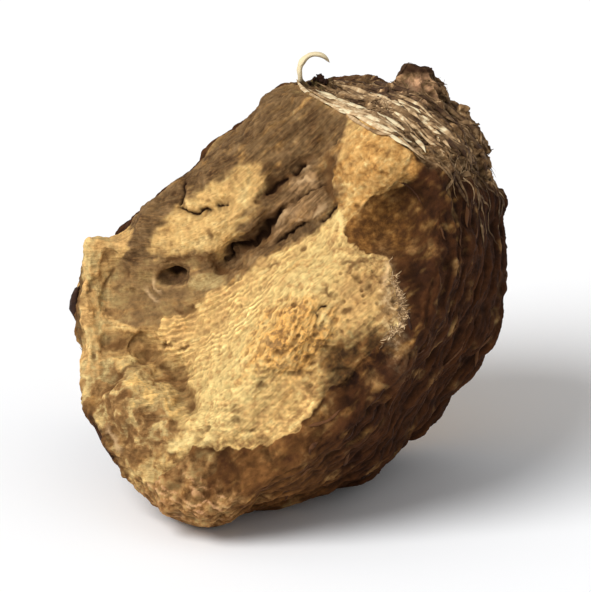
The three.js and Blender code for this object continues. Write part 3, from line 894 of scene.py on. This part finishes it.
def swept(points, normals, widths, thick):
    """Vertices and faces of a flattened tube along points, tapering with its widths."""
    tangents = unit(np.gradient(points, axis=0))
    across = unit(np.cross(tangents, normals))
    up = np.cross(across, tangents)
    turns = (np.arange(TUBE_SIDES) * 2 * np.pi / TUBE_SIDES)[None, :, None]
    half = widths[:, None, None] / 2
    wide = across[:, None, :] * np.cos(turns) * half
    high = up[:, None, :] * np.sin(turns) * half * thick
    vertices = (points[:, None, :] + wide + high).reshape(-1, 3)
    last = (len(points) - 1) * TUBE_SIDES
    faces = []
    for ring in range(0, last, TUBE_SIDES):
        for side in range(TUBE_SIDES):
            a, b = ring + side, ring + (side + 1) % TUBE_SIDES
            faces.append((a, b, b + TUBE_SIDES, a + TUBE_SIDES))
    faces.append(tuple(reversed(range(TUBE_SIDES))))
    faces.append(tuple(range(last, last + TUBE_SIDES)))
    return vertices, faces


def joined_strands(name, runs):
    """One piece of many strands, each given by its points, normals, widths, flatness and tone."""
    vertices, faces, tones, lengths = [], [], [], []
    count = 0
    for points, normals, widths, thick, tone in runs:
        some, around = swept(points, normals, widths, thick)
        vertices.append(some)
        faces += [tuple(i + count for i in face) for face in around]
        tones.append(np.full(len(some), tone))
        lengths.append(np.repeat(lengths_along(points), TUBE_SIDES) + TONE_SHIFT * tone)
        count += len(some)
    points = to_world(np.concatenate(vertices))
    points[:, 2] = np.maximum(points[:, 2], LOWEST_STRAND * MM)
    mesh = bpy.data.meshes.new(name)
    mesh.from_pydata(points.tolist(), [], faces)
    mesh.shade_smooth()
    store(mesh, "tone", np.concatenate(tones))
    store(mesh, "length", np.concatenate(lengths))
    return link(name, mesh)


def tapered(points, width, taper, rng):
    """Widths along a strand that thins to both ends and swells a little between them."""
    share = np.linspace(0, 1, len(points))
    widths = width * np.minimum(1, np.minimum(share, 1 - share) * taper + 0.12)
    return widths * (1 + 0.25 * np.sin(share * rng.uniform(4, 14) + rng.uniform(0, 6)))


def lifted_ends(points, normals, lift, rng):
    """A strand whose ends come free of the surface."""
    share = np.linspace(0, 1, len(points))
    free = rng.uniform(0, lift) * np.clip((share - 0.6) / 0.4, 0, 1) ** 2
    free += rng.uniform(0, lift / 2) * np.clip((0.2 - share) / 0.2, 0, 1) ** 2
    return points + normals * free[:, None]


def walk(tree, start, heading, steps, kind, rng):
    """Points and normals of a path along the surface from a start, turning a little at each step."""
    place, normal, _, _ = tree.find_nearest(Vector(start))
    heading = Vector(heading)
    points, normals = [place], [normal]
    turning = 0.0
    for _ in range(steps):
        turning = 0.7 * turning + kind["bend"] * rng.standard_normal()
        side = normal.cross(heading).normalized()
        heading = heading - normal * heading.dot(normal) + side * turning
        heading.normalize()
        place, normal, _, _ = tree.find_nearest(place + heading * kind["stride"])
        points.append(place)
        normals.append(normal)
    return np.array(points), np.array(normals)


def wandering(tree, starts, rng, kind):
    """Strands that walk over the surface from their starts, but for those that stray."""
    runs = []
    for start in starts:
        steps = int(rng.integers(*kind["steps"]))
        heading = kind["heading"](start) + kind["spread"] * rng.standard_normal(3)
        points, normals = walk(tree, start, heading, steps, kind, rng)
        widths = tapered(points, rng.uniform(*kind["width"]), kind["taper"], rng)
        points = points + normals * (0.3 * widths * kind["thick"])[:, None]
        points = lifted_ends(points, normals, kind["lift"], rng)
        tone = rng.uniform(*kind["tone"])
        if not kind["strays"](points).any():
            runs.append((points, normals, widths, kind["thick"], tone))
    return runs


def projected(tree, seen):
    """Points and normals where lines of sight from the front meet the surface."""
    hits = [tree.ray_cast(Vector((u, v, IN_FRONT)), Vector((0, 0, -1))) for u, v in seen]
    hits = [hit for hit in hits if hit[0] is not None]
    return np.array([hit[0] for hit in hits]), np.array([hit[1] for hit in hits])


def guided(tree, rng):
    """Flat strands of the crown that lie along its guide lines, as seen from the front."""
    runs = []
    for guide in CROWN_GUIDES:
        line = np.array(guide["path"], float)
        gone = lengths_along(line)
        for _ in range(guide["count"]):
            begin = rng.uniform(0, 0.6) * gone[-1]
            reach = min(gone[-1] - begin, rng.uniform(*STRAND_LENGTHS))
            at = np.arange(begin, begin + reach, STRAND_STRIDE)
            if len(at) < FEWEST_POINTS:
                continue
            aside = rng.normal(0, guide["spread"]) + 0.25 * np.sin(at / 1.7 + rng.uniform(0, 6))
            seen = np.stack([np.interp(at, gone, line[:, axis]) for axis in (0, 1)], axis=1)
            heading = unit(np.gradient(seen, axis=0))
            seen = seen + aside[:, None] * np.stack((-heading[:, 1], heading[:, 0]), axis=1)
            points, normals = projected(tree, seen)
            if len(points) < FEWEST_POINTS or curl_share(points).max() > 0:
                continue
            even_out(points, 3)
            even_out(normals, 3)
            widths = tapered(points, rng.uniform(*guide["width"]), STRAND_TAPER, rng)
            points = lifted_ends(points + normals * STRAND_HEIGHT, normals, STRAND_LIFT, rng)
            runs.append((points, normals, widths, STRAND_FLATNESS, rng.uniform(*guide["tone"])))
    return runs


def crown_heading(start):
    """Strands of the crown run down to the right, more steeply at the right."""
    angle = math.radians(np.interp(start[0], (-2, 10, 20, 26), (-28, -32, -48, -75)))
    return np.array((math.cos(angle), math.sin(angle), -0.12))


def ring_heading(start):
    """Scales of the bark run round the root."""
    return np.cross(ROOT_AXIS, np.array(start))


def outward_heading(start):
    """The fringe of the rim points to the right and a little forward."""
    return np.array((1.0, 0.03 * start[1] - 0.1, 0.35))


def below_crown(points):
    """Which points have left the crown for the lobe or the cut face."""
    return (points[:, 1] < crown_edge(points[:, 0]) - 0.8) & (points[:, 0] < 17.5)


def on_scuffed(points):
    """Which points lie on the worn wood at the lower left."""
    return (points[:, 0] < -5) & (points[:, 1] < -12) & (points[:, 2] > -6)


def nowhere(points):
    return np.zeros(len(points), bool)


# Kinds of strands that wander over the surface: loose strands and hairs of the crown, the fringe of
# the rim and scales of the bark, with their lengths in steps and their sizes in millimetres
LOOSE = {
    "heading": crown_heading, "spread": 0.12, "bend": 0.05, "strays": below_crown, "steps": (8, 22),
    "stride": 0.45, "width": (0.25, 0.7), "thick": 0.4, "taper": 5, "lift": 0.5, "tone": (0, 0.45),
}
HAIRS = {
    "heading": crown_heading, "spread": 0.4, "bend": 0.16, "strays": below_crown, "steps": (6, 16),
    "stride": 0.45, "width": (0.1, 0.18), "thick": 0.9, "taper": 3, "lift": 1.2, "tone": (0.1, 0.7),
}
FRINGE = {
    "heading": outward_heading, "spread": 0.7, "bend": 0.25, "strays": nowhere, "steps": (4, 8),
    "stride": 0.16, "width": (0.07, 0.14), "thick": 0.8, "taper": 3, "lift": 0.3, "tone": (0.3, 0.8),
}
SCALES = {
    "heading": ring_heading, "spread": 1.5, "bend": 0.08, "strays": on_scuffed, "steps": (6, 16),
    "stride": 0.35, "width": (0.2, 0.5), "thick": 0.3, "taper": 4, "lift": 0.25, "tone": (0.3, 1),
}
LOOSE_COUNT, HAIR_COUNT, FRINGE_COUNT, SCALE_COUNT, CRUMB_COUNT = 90, 70, 240, 120, 22
# Where the crumbs at the foot of the curl lie, and how long they are
CRUMBS_U, CRUMBS_V, CRUMBS_W, CRUMB_LENGTHS = (2.2, 5.4), (26.0, 27.6), -3.6, (0.5, 1.1)


def pick(points, share, count, rng):
    """Some of the points, each with that chance of being drawn."""
    return points[rng.choice(len(points), count, p=share / share.sum())]


def scraps(points, normals, levels, out, widths, rng):
    """Dark scraps of bark on the left edge, at the leftmost points of some levels."""
    runs = []
    for share in (1.0, 0.7, 0.6):
        places = left_edge(points, [level + rng.uniform(-0.3, 0.3) for level in levels])
        line = points[places]
        even_out(line, 2, weight=2)
        line[:, 0] += np.array(out) * share
        line[:, 2] += rng.uniform(-1.4, 1.4)
        wide = share * np.array(widths) * rng.uniform(0.75, 1.25, len(widths))
        runs.append((line, normals[places], wide, 0.55, rng.uniform(0.0, 0.6)))
    return runs


def crumbs(tree, rng):
    """Small dark lumps at the foot of the curl."""
    runs = []
    for _ in range(CRUMB_COUNT):
        start = Vector((rng.uniform(*CRUMBS_U), rng.uniform(*CRUMBS_V), CRUMBS_W))
        place, normal, _, _ = tree.find_nearest(start)
        if curl_share(np.array([place])).max() > 0:
            continue
        along = Vector(rng.standard_normal(3)).normalized() * rng.uniform(*CRUMB_LENGTHS)
        points = np.array([place + along * (share - 0.5) for share in np.linspace(0, 1, 6)])
        widths = rng.uniform(0.5, 1.0) * np.array((0.25, 0.8, 1.0, 0.95, 0.7, 0.2))
        runs.append((points, np.tile(normal, (6, 1)), widths, 0.7, rng.uniform(0.0, 0.4)))
    return runs


def strands(mesh):
    """The crown's strands and hairs, the rim's fringe, and the bark's scales and scraps."""
    rng = np.random.default_rng(7)
    tree = surface_tree(mesh)
    points, normals = to_view(read_points(mesh)), turned(read_normals(mesh))
    names = ("crown", "curl", "face", "bark", "scuffed")
    crown, curl, face, bark, scuffed = [read_number(mesh, name) for name in names]
    crown = crown * (1 - curl)
    edge = oval(points[:, 0], points[:, 1], "fringe") * (face * (1 - face) > 0.01)
    above = to_world(points)[:, 2] > LOWEST_SCALE * MM
    plain = bark * above * (1 - crown) * (1 - scuffed)
    laid = guided(tree, rng)
    laid += wandering(tree, pick(points, crown, LOOSE_COUNT, rng), rng, LOOSE)
    fine = wandering(tree, pick(points, crown, HAIR_COUNT, rng), rng, HAIRS)
    fine += wandering(tree, pick(points, edge, FRINGE_COUNT, rng), rng, FRINGE)
    loose = wandering(tree, pick(points, plain, SCALE_COUNT, rng), rng, SCALES)
    for scrap in SCRAPS:
        loose += scraps(points, normals, scrap["levels"], scrap["out"], scrap["widths"], rng)
    loose += crumbs(tree, rng)
    runs = {"crown_strands": laid, "fine_hairs": fine, "bark_scales": loose}
    return [joined_strands(name, some) for name, some in runs.items()]


# Materials


class Shade:
    """Builds the nodes of one material."""

    def __init__(self, name, specular, rough=0.9):
        self.material = bpy.data.materials.new(name)
        self.material.use_nodes = True
        self.tree = self.material.node_tree
        self.inputs = self.tree.nodes["Principled BSDF"].inputs
        self.put("Roughness", rough)
        self.put("Specular IOR Level", specular)

    def put(self, name, value, inputs=None):
        """Sets an input of the shader, or of another node, to a value or to what a node gives."""
        socket = (inputs or self.inputs)[name]
        if isinstance(value, bpy.types.NodeSocket):
            self.tree.links.new(value, socket)
        elif socket.type == "RGBA":
            socket.default_value = (*value, 1.0)
        else:
            socket.default_value = value

    def node(self, kind, inputs, output=0, **settings):
        """What a new node gives, from its inputs and settings."""
        node = self.tree.nodes.new("ShaderNode" + kind)
        for key, value in settings.items():
            setattr(node, key, value)
        for name, value in inputs.items():
            self.put(name, value, node.inputs)
        return node.outputs[output]

    def number(self, name):
        return self.node("Attribute", {}, "Fac", attribute_name=name)

    def vector(self, name):
        return self.node("Attribute", {}, "Vector", attribute_name=name)

    def math(self, kind, a, b=0.0, c=0.0):
        return self.node("Math", {0: a, 1: b, 2: c}, operation=kind)

    def times(self, a, b):
        return self.math("MULTIPLY", a, b)

    def joined(self, x, y, z=0.0):
        return self.node("CombineXYZ", {"X": x, "Y": y, "Z": z})

    def stretched(self, vector, scale):
        return self.node("Mapping", {"Vector": vector, "Scale": scale})

    def noise(self, vector, scale, detail=3.0, rough=0.6, warp=0.0):
        fineness = {"Scale": scale, "Detail": detail, "Roughness": rough, "Distortion": warp}
        return self.node("TexNoise", {"Vector": vector, **fineness}, "Fac")

    def sum(self, *parts):
        """The weighted sum of some values."""
        total = 0.0
        for value, weight in parts:
            total = self.math("MULTIPLY_ADD", value, weight, total)
        return total

    def swing(self, value, height):
        """A noise value moved to swing about zero."""
        return self.times(self.math("SUBTRACT", value, 0.5), height)

    def step(self, value, low, high, out_low=0.0, out_high=1.0):
        limits = {"From Min": low, "From Max": high, "To Min": out_low, "To Max": out_high}
        smooth = {"interpolation_type": "SMOOTHSTEP"}
        return self.node("MapRange", {"Value": value, **limits}, "Result", **smooth)

    def ramp(self, value, *stops):
        """Colours along a value, each at its place from 0 to 1."""
        colour = self.node("ValToRGB", {"Fac": value}, "Color")
        elements = colour.node.color_ramp.elements
        while len(elements) < len(stops):
            elements.new(0.5)
        for element, (at, shade) in zip(elements, stops):
            element.position = at
            element.color = (*shade, 1.0)
        return colour

    def mix(self, share, a, b, kind="MIX"):
        return self.node("Mix", {0: share, 6: a, 7: b}, 2, data_type="RGBA", blend_type=kind)

    def brightened(self, colour, value):
        """A colour times a brightness, which may be above one."""
        return self.mix(1.0, colour, self.joined(value, value, value), "MULTIPLY")

    def bump(self, height, strength, distance):
        bump = self.node("Bump", {"Height": height, "Strength": strength, "Distance": distance})
        self.put("Normal", bump)


def srgb(*screen):
    """A colour from its screen values."""
    return tuple(c / 12.92 if c <= 0.04045 else ((c + 0.055) / 1.055) ** 2.4 for c in screen)


# Cream of the bulge's crest, partly its own pale wood and partly a painted highlight
BULGE_CREAM_AND_HIGHLIGHT = srgb(1.0, 0.92, 0.62)
PALE = srgb(0.98, 0.87, 0.59)
TAN = srgb(0.82, 0.65, 0.41)
GOLD = srgb(0.90, 0.74, 0.46)
BROWN_TAN = srgb(0.58, 0.43, 0.26)
UMBER = srgb(0.40, 0.27, 0.15)
BAY_BROWN = srgb(0.52, 0.35, 0.17)
WEATHERED_LIGHT = srgb(0.57, 0.45, 0.31)
WEATHERED = srgb(0.42, 0.32, 0.21)
WEATHERED_DARK = srgb(0.27, 0.18, 0.11)
RIB = srgb(0.70, 0.55, 0.38)
WORN = srgb(0.84, 0.70, 0.52)
CLOT = srgb(0.40, 0.35, 0.20)
DISH = srgb(0.54, 0.42, 0.27)
OLIVE = srgb(0.64, 0.53, 0.34)
OLIVE_LIGHT = srgb(0.74, 0.64, 0.43)
KNOT_BROWN = srgb(0.34, 0.22, 0.15)
KNOT_DARK = srgb(0.22, 0.13, 0.08)
ORANGE_TAN = srgb(0.74, 0.54, 0.29)
ORANGE = srgb(0.98, 0.71, 0.34)
ORANGE_BROWN = srgb(0.58, 0.38, 0.18)
LOBE_TAN = srgb(0.81, 0.63, 0.38)
RUST = srgb(0.37, 0.24, 0.12)
RUST_LIGHT = srgb(0.52, 0.35, 0.19)
BARK = srgb(0.26, 0.15, 0.075)
BARK_LIGHT = srgb(0.38, 0.24, 0.13)
BARK_DARK = srgb(0.15, 0.08, 0.045)
# Painted shade inside cracks and holes
CRACK_SHADE = srgb(0.17, 0.10, 0.05)
STRAND = srgb(0.82, 0.69, 0.52)
CREAM = srgb(0.93, 0.86, 0.70)
PINK_TAN = srgb(0.76, 0.58, 0.44)


def root_material():
    """Wood, bark and crown, told apart by the regions that the surface keeps."""
    s = Shade("root_wood", specular=0.08)
    view, grain, rings = s.vector("view"), s.vector("grain"), s.vector("rings")
    streaks = s.noise(s.stretched(grain, (0.16, 1.5, 0.5)), 1.0, 5.0, 0.65, 0.3)
    fibres = s.noise(s.stretched(grain, (0.4, 4.6, 1.8)), 1.0, 4.0, warp=0.2)
    blotches = s.noise(view, 0.3, 4.0)
    cloud = s.noise(view, 0.5, 6.0, 0.62, 0.4)
    mottle = s.noise(view, 1.1, 5.0)
    grit = s.noise(view, 5.0)
    folds = s.noise(rings, 1.6, 4.0)

    def region(name, share, sway=0.0):
        """How much of a layer shows: its share where the region is, less in spots if it sways."""
        mask = s.number(name)
        if sway:
            mask = s.times(mask, s.step(mottle, 0.5 - sway, 0.5 + sway, 0.4, 1.0))
        return s.times(mask, share)

    def coated(under, name, share, by, *stops):
        """Lays the colours along a noise over what is under them, in one region."""
        return s.mix(region(name, share), under, s.ramp(by, *stops))

    # Cut wood
    wood_mix = s.sum((streaks, 0.45), (mottle, 0.3), (blotches, 0.25))
    wood = s.ramp(wood_mix, (0.36, BROWN_TAN), (0.45, TAN), (0.54, GOLD), (0.62, PALE))
    # Cream along the bulge's crest: pale wood, brightened there as a painted highlight
    wood = s.mix(region("bulge", 0.9, 0.2), wood, BULGE_CREAM_AND_HIGHLIGHT)
    wood = s.mix(s.step(mottle, 0.37, 0.47, 0.75, 0.0), wood, TAN)
    wood = coated(wood, "window", 0.7, cloud, (0.36, TAN), (0.5, GOLD), (0.64, PALE))
    wood = s.mix(s.times(s.number("striated"), s.step(fibres, 0.4, 0.5, 0.35, 0.0)), wood, TAN)
    orange = (0.36, UMBER), (0.42, ORANGE_BROWN), (0.48, ORANGE), (0.66, GOLD)
    wood = coated(wood, "orange", 0.9, mottle, *orange)
    wood = s.mix(s.step(s.number("brush"), -0.32, -0.1, 0.5, 0.0), wood, ORANGE_BROWN)
    wood = coated(wood, "patch", 0.9, cloud, (0.38, BROWN_TAN), (0.5, TAN), (0.62, GOLD))
    wood = s.mix(s.step(s.number("comb"), 0.1, 0.6, 0.4, 0.0), wood, s.mix(0.5, TAN, BROWN_TAN))
    # Weathered, brown and worn parts
    weather = s.sum((streaks, 0.5), (cloud, 0.5))
    greys = (0.39, WEATHERED_DARK), (0.53, WEATHERED), (0.68, WEATHERED_LIGHT)
    coats = (
        ("weathered", 0.96, weather, *greys),
        ("ribs", 0.6, streaks, (0.4, WEATHERED), (0.56, RIB)),
        ("hollow", 0.95, cloud, (0.34, WEATHERED), (0.5, DISH), (0.66, OLIVE)),
        ("olive", 0.8, mottle, (0.4, OLIVE), (0.55, OLIVE_LIGHT)),
        ("halo", 0.55, mottle, (0.4, KNOT_BROWN), (0.6, DISH)),
        ("knot", 0.65, mottle, (0.36, KNOT_DARK), (0.6, KNOT_BROWN)),
        ("lump", 0.85, cloud, (0.38, BROWN_TAN), (0.5, OLIVE_LIGHT), (0.62, GOLD)),
        ("lower", 0.9, cloud, (0.44, UMBER), (0.53, BROWN_TAN), (0.61, OLIVE_LIGHT), (0.73, GOLD)),
        ("strip", 0.85, cloud, (0.35, BROWN_TAN), (0.47, TAN), (0.6, OLIVE_LIGHT), (0.72, PALE)),
        ("rim", 0.6, mottle, (0.36, BROWN_TAN), (0.47, TAN), (0.56, GOLD), (0.66, PALE)),
        ("clumps", 0.9, cloud, (0.34, UMBER), (0.42, BROWN_TAN), (0.5, GOLD), (0.6, PALE)),
        # The groove's dark browns are partly its own colour and partly painted shade in its valley
        ("groove", 0.8, mottle, (0.4, UMBER), (0.58, BROWN_TAN)),
    )
    for coat in coats:
        wood = coated(wood, *coat)
    wood = s.mix(s.step(fibres, 0.38, 0.47, 0.4, 0.0), wood, BROWN_TAN)
    # Bark
    bark_mix = s.sum((folds, 0.4), (cloud, 0.35), (blotches, 0.25))
    bark = s.ramp(bark_mix, (0.39, BARK_DARK), (0.56, BARK), (0.77, BARK_LIGHT))
    bark = coated(bark, "rusty", 0.9, bark_mix, (0.38, BARK), (0.5, RUST), (0.62, RUST_LIGHT))
    worn_mix = s.sum((cloud, 0.6), (mottle, 0.4))
    scuffed = s.ramp(worn_mix, (0.41, RUST), (0.52, BROWN_TAN), (0.63, OLIVE), (0.74, TAN))
    bark = s.mix(region("scuffed", 0.85), bark, scuffed)
    ringed = s.times(s.number("ringed"), s.step(cloud, 0.4, 0.6, 0.3, 1.0))
    bark = s.mix(s.step(ringed, 0.0, 0.6, 0.0, 0.7), bark, PINK_TAN)
    # Wood and bark meet along a ragged edge
    is_bark = s.number("bark")
    at_edge = s.step(s.math("ABSOLUTE", s.math("SUBTRACT", is_bark, 0.5)), 0.3, 0.5, 1.0, 0.0)
    ragged = s.times(s.sum((mottle, 1.6), (streaks, 1.0), (1.0, -1.3)), at_edge)
    colour = s.mix(s.step(s.math("ADD", is_bark, ragged), 0.25, 0.75), wood, bark)
    colour = s.mix(region("scuffed", 0.5), colour, scuffed)
    # Reddish brown of the rim, darker where the face curves away: partly its own colour, partly
    # painted shade
    colour = coated(colour, "rim_red_and_shade", 0.95, cloud, (0.44, BARK_DARK), (0.6, RUST), (0.82, RUST_LIGHT))
    colour = coated(colour, "left_bark", 0.85, mottle, (0.36, BARK_DARK), (0.56, RUST))
    bay = s.ramp(mottle, (0.4, RUST), (0.57, BAY_BROWN), (0.8, ORANGE_TAN))
    colour = s.mix(s.times(region("bay", 0.9), is_bark), colour, bay)
    # Edge of the rim, crown, lobe and knob
    dry = (0.48, WEATHERED), (0.58, WEATHERED_LIGHT), (0.68, STRAND)
    both = s.sum((cloud, 0.5), (mottle, 0.5))
    coats = (
        ("edge", 0.8, mottle, (0.38, WEATHERED), (0.5, WEATHERED_LIGHT), (0.6, STRAND)),
        ("crown", 0.9, mottle, (0.34, WEATHERED_DARK), *dry),
        ("lobe", 0.85, both, (0.39, BAY_BROWN), (0.48, ORANGE_TAN), (0.57, LOBE_TAN), (0.67, PALE)),
        ("knob", 0.85, cloud, (0.4, WEATHERED), (0.55, PINK_TAN), (0.68, STRAND)),
    )
    for coat in coats:
        colour = coated(colour, *coat)
    colour = s.mix(region("cap", 0.9), colour, BARK_DARK)
    # Painted light and shade: ridges are brightened as a painted highlight, and dips and broad
    # hollows darkened as painted shade, each by its own step
    colour = s.brightened(colour, s.step(s.number("dip_light_and_shade"), -0.12, 0.12, 1.28, 0.68))
    colour = s.brightened(colour, s.step(s.number("deep_light_and_shade"), -0.7, 0.7, 1.25, 0.75))
    # Pores, spots, marks, painted shade along and inside the cracks, and grit
    colour = s.mix(region("pores", 0.5), colour, UMBER)
    colour = s.mix(region("spots", 0.9, 0.2), colour, UMBER)
    for name, share, shade in (("dark", 0.75, UMBER), ("light", 0.7, PALE), ("worn", 0.55, WORN)):
        colour = s.mix(region(name, share), colour, shade)
    colour = coated(colour, "clot", 0.9, mottle, (0.4, BARK_DARK), (0.6, CLOT))
    # Painted shade in the valleys along the cracks
    colour = s.mix(region("crack_valley_shade", 0.45), colour, WEATHERED_DARK)
    # Painted shade inside the cracks, in the knot's open heart and in the rear cut's cracks
    colour = s.mix(s.step(s.number("opening"), 0.3, 0.9), colour, CRACK_SHADE)
    colour = s.mix(s.step(grit, 0.6, 0.74, 0.0, 0.45), colour, BARK)
    s.put("Base Color", s.mix(s.number("curl"), colour, CREAM))
    s.put("Roughness", s.step(mottle, 0.3, 0.7, 0.85, 0.97))
    s.bump(s.sum((fibres, 0.6), (grit, 0.5)), strength=0.7, distance=0.4 * MM)
    return s.material


def strand_material(name, *stops):
    s = Shade(name, specular=0.25, rough=0.85)
    per_mm = 0.9 / MM
    lines = s.noise(s.stretched(s.vector("position"), (per_mm, per_mm, per_mm)), 1.0)
    bands = s.noise(s.joined(s.number("length"), s.number("tone")), 0.7)
    tone = s.math("ADD", s.number("tone"), s.math("ADD", s.swing(bands, 1.6), s.swing(lines, 0.8)))
    s.put("Base Color", s.ramp(tone, *stops))
    s.bump(lines, strength=0.5, distance=0.2 * MM)
    return s.material


# The studio, in metres, with the lens in millimetres for each metre of the camera's distance

CAMERA_DISTANCE = 1.5
LENS_PER_METRE = 488.1
CAMERA_OFFSET = Vector((0.001, 0, -0.001))
FLOOR_HALF = 3.0
FLOOR_COLOUR = (0.92, 0.925, 0.935)
WORLD_LIGHT = 0.47
SUN_STRENGTH, SUN_ANGLE, SUN_FROM = 2.8, math.radians(36), Vector((-0.54, -0.4, 0.74))


def facing(direction):
    """The turn of a camera or a light that looks against a direction."""
    return direction.to_track_quat("Z", "Y").to_euler()


def studio():
    """The floor, the lights and the camera."""
    mesh = bpy.data.meshes.new("floor")
    corners = [(x * FLOOR_HALF, y * FLOOR_HALF, 0) for x, y in ((-1, -1), (1, -1), (1, 1), (-1, 1))]
    mesh.from_pydata(corners, [], [(0, 1, 2, 3)])
    floor = link("floor", mesh)
    shade = Shade("floor", specular=0.5)
    shade.put("Base Color", FLOOR_COLOUR)
    mesh.materials.append(shade.material)
    world = bpy.data.worlds.new("studio")
    bpy.context.scene.world = world
    world.use_nodes = True
    background = world.node_tree.nodes["Background"]
    background.inputs["Color"].default_value = (1.0, 1.0, 1.0, 1.0)
    background.inputs["Strength"].default_value = WORLD_LIGHT
    light = bpy.data.lights.new("key", "SUN")
    light.energy = SUN_STRENGTH
    light.angle = SUN_ANGLE
    link("key", light).rotation_euler = facing(SUN_FROM)
    camera = link("camera", bpy.data.cameras.new("camera"))
    away = Vector((0, -COS, SIN))
    aim = Vector(to_world([(0, 0, 0)])[0]) + CAMERA_OFFSET
    camera.location = aim + CAMERA_DISTANCE * away
    camera.rotation_euler = facing(away)
    camera.data.lens = LENS_PER_METRE * CAMERA_DISTANCE
    bpy.context.scene.camera = camera
    bpy.context.scene.view_settings.view_transform = "Standard"


whole, surfaces = chunk_surface()
wood_and_bark = root_material()
shades = (0, WEATHERED_DARK), (0.25, WEATHERED), (0.5, WEATHERED_LIGHT), (0.8, STRAND), (1, CREAM)
fibre = strand_material("dry_fibre", *shades)
scale = strand_material("bark_scale", (0, BARK_DARK), (0.6, BARK), (1, BARK_LIGHT))
pieces = surfaces + strands(whole.data)
for piece, material in zip(pieces, [wood_and_bark] * len(surfaces) + [fibre, fibre, scale]):
    piece.data.materials.append(material)
    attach(piece, "root")
    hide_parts("root_chunk")
bpy.data.objects.remove(whole)
studio()
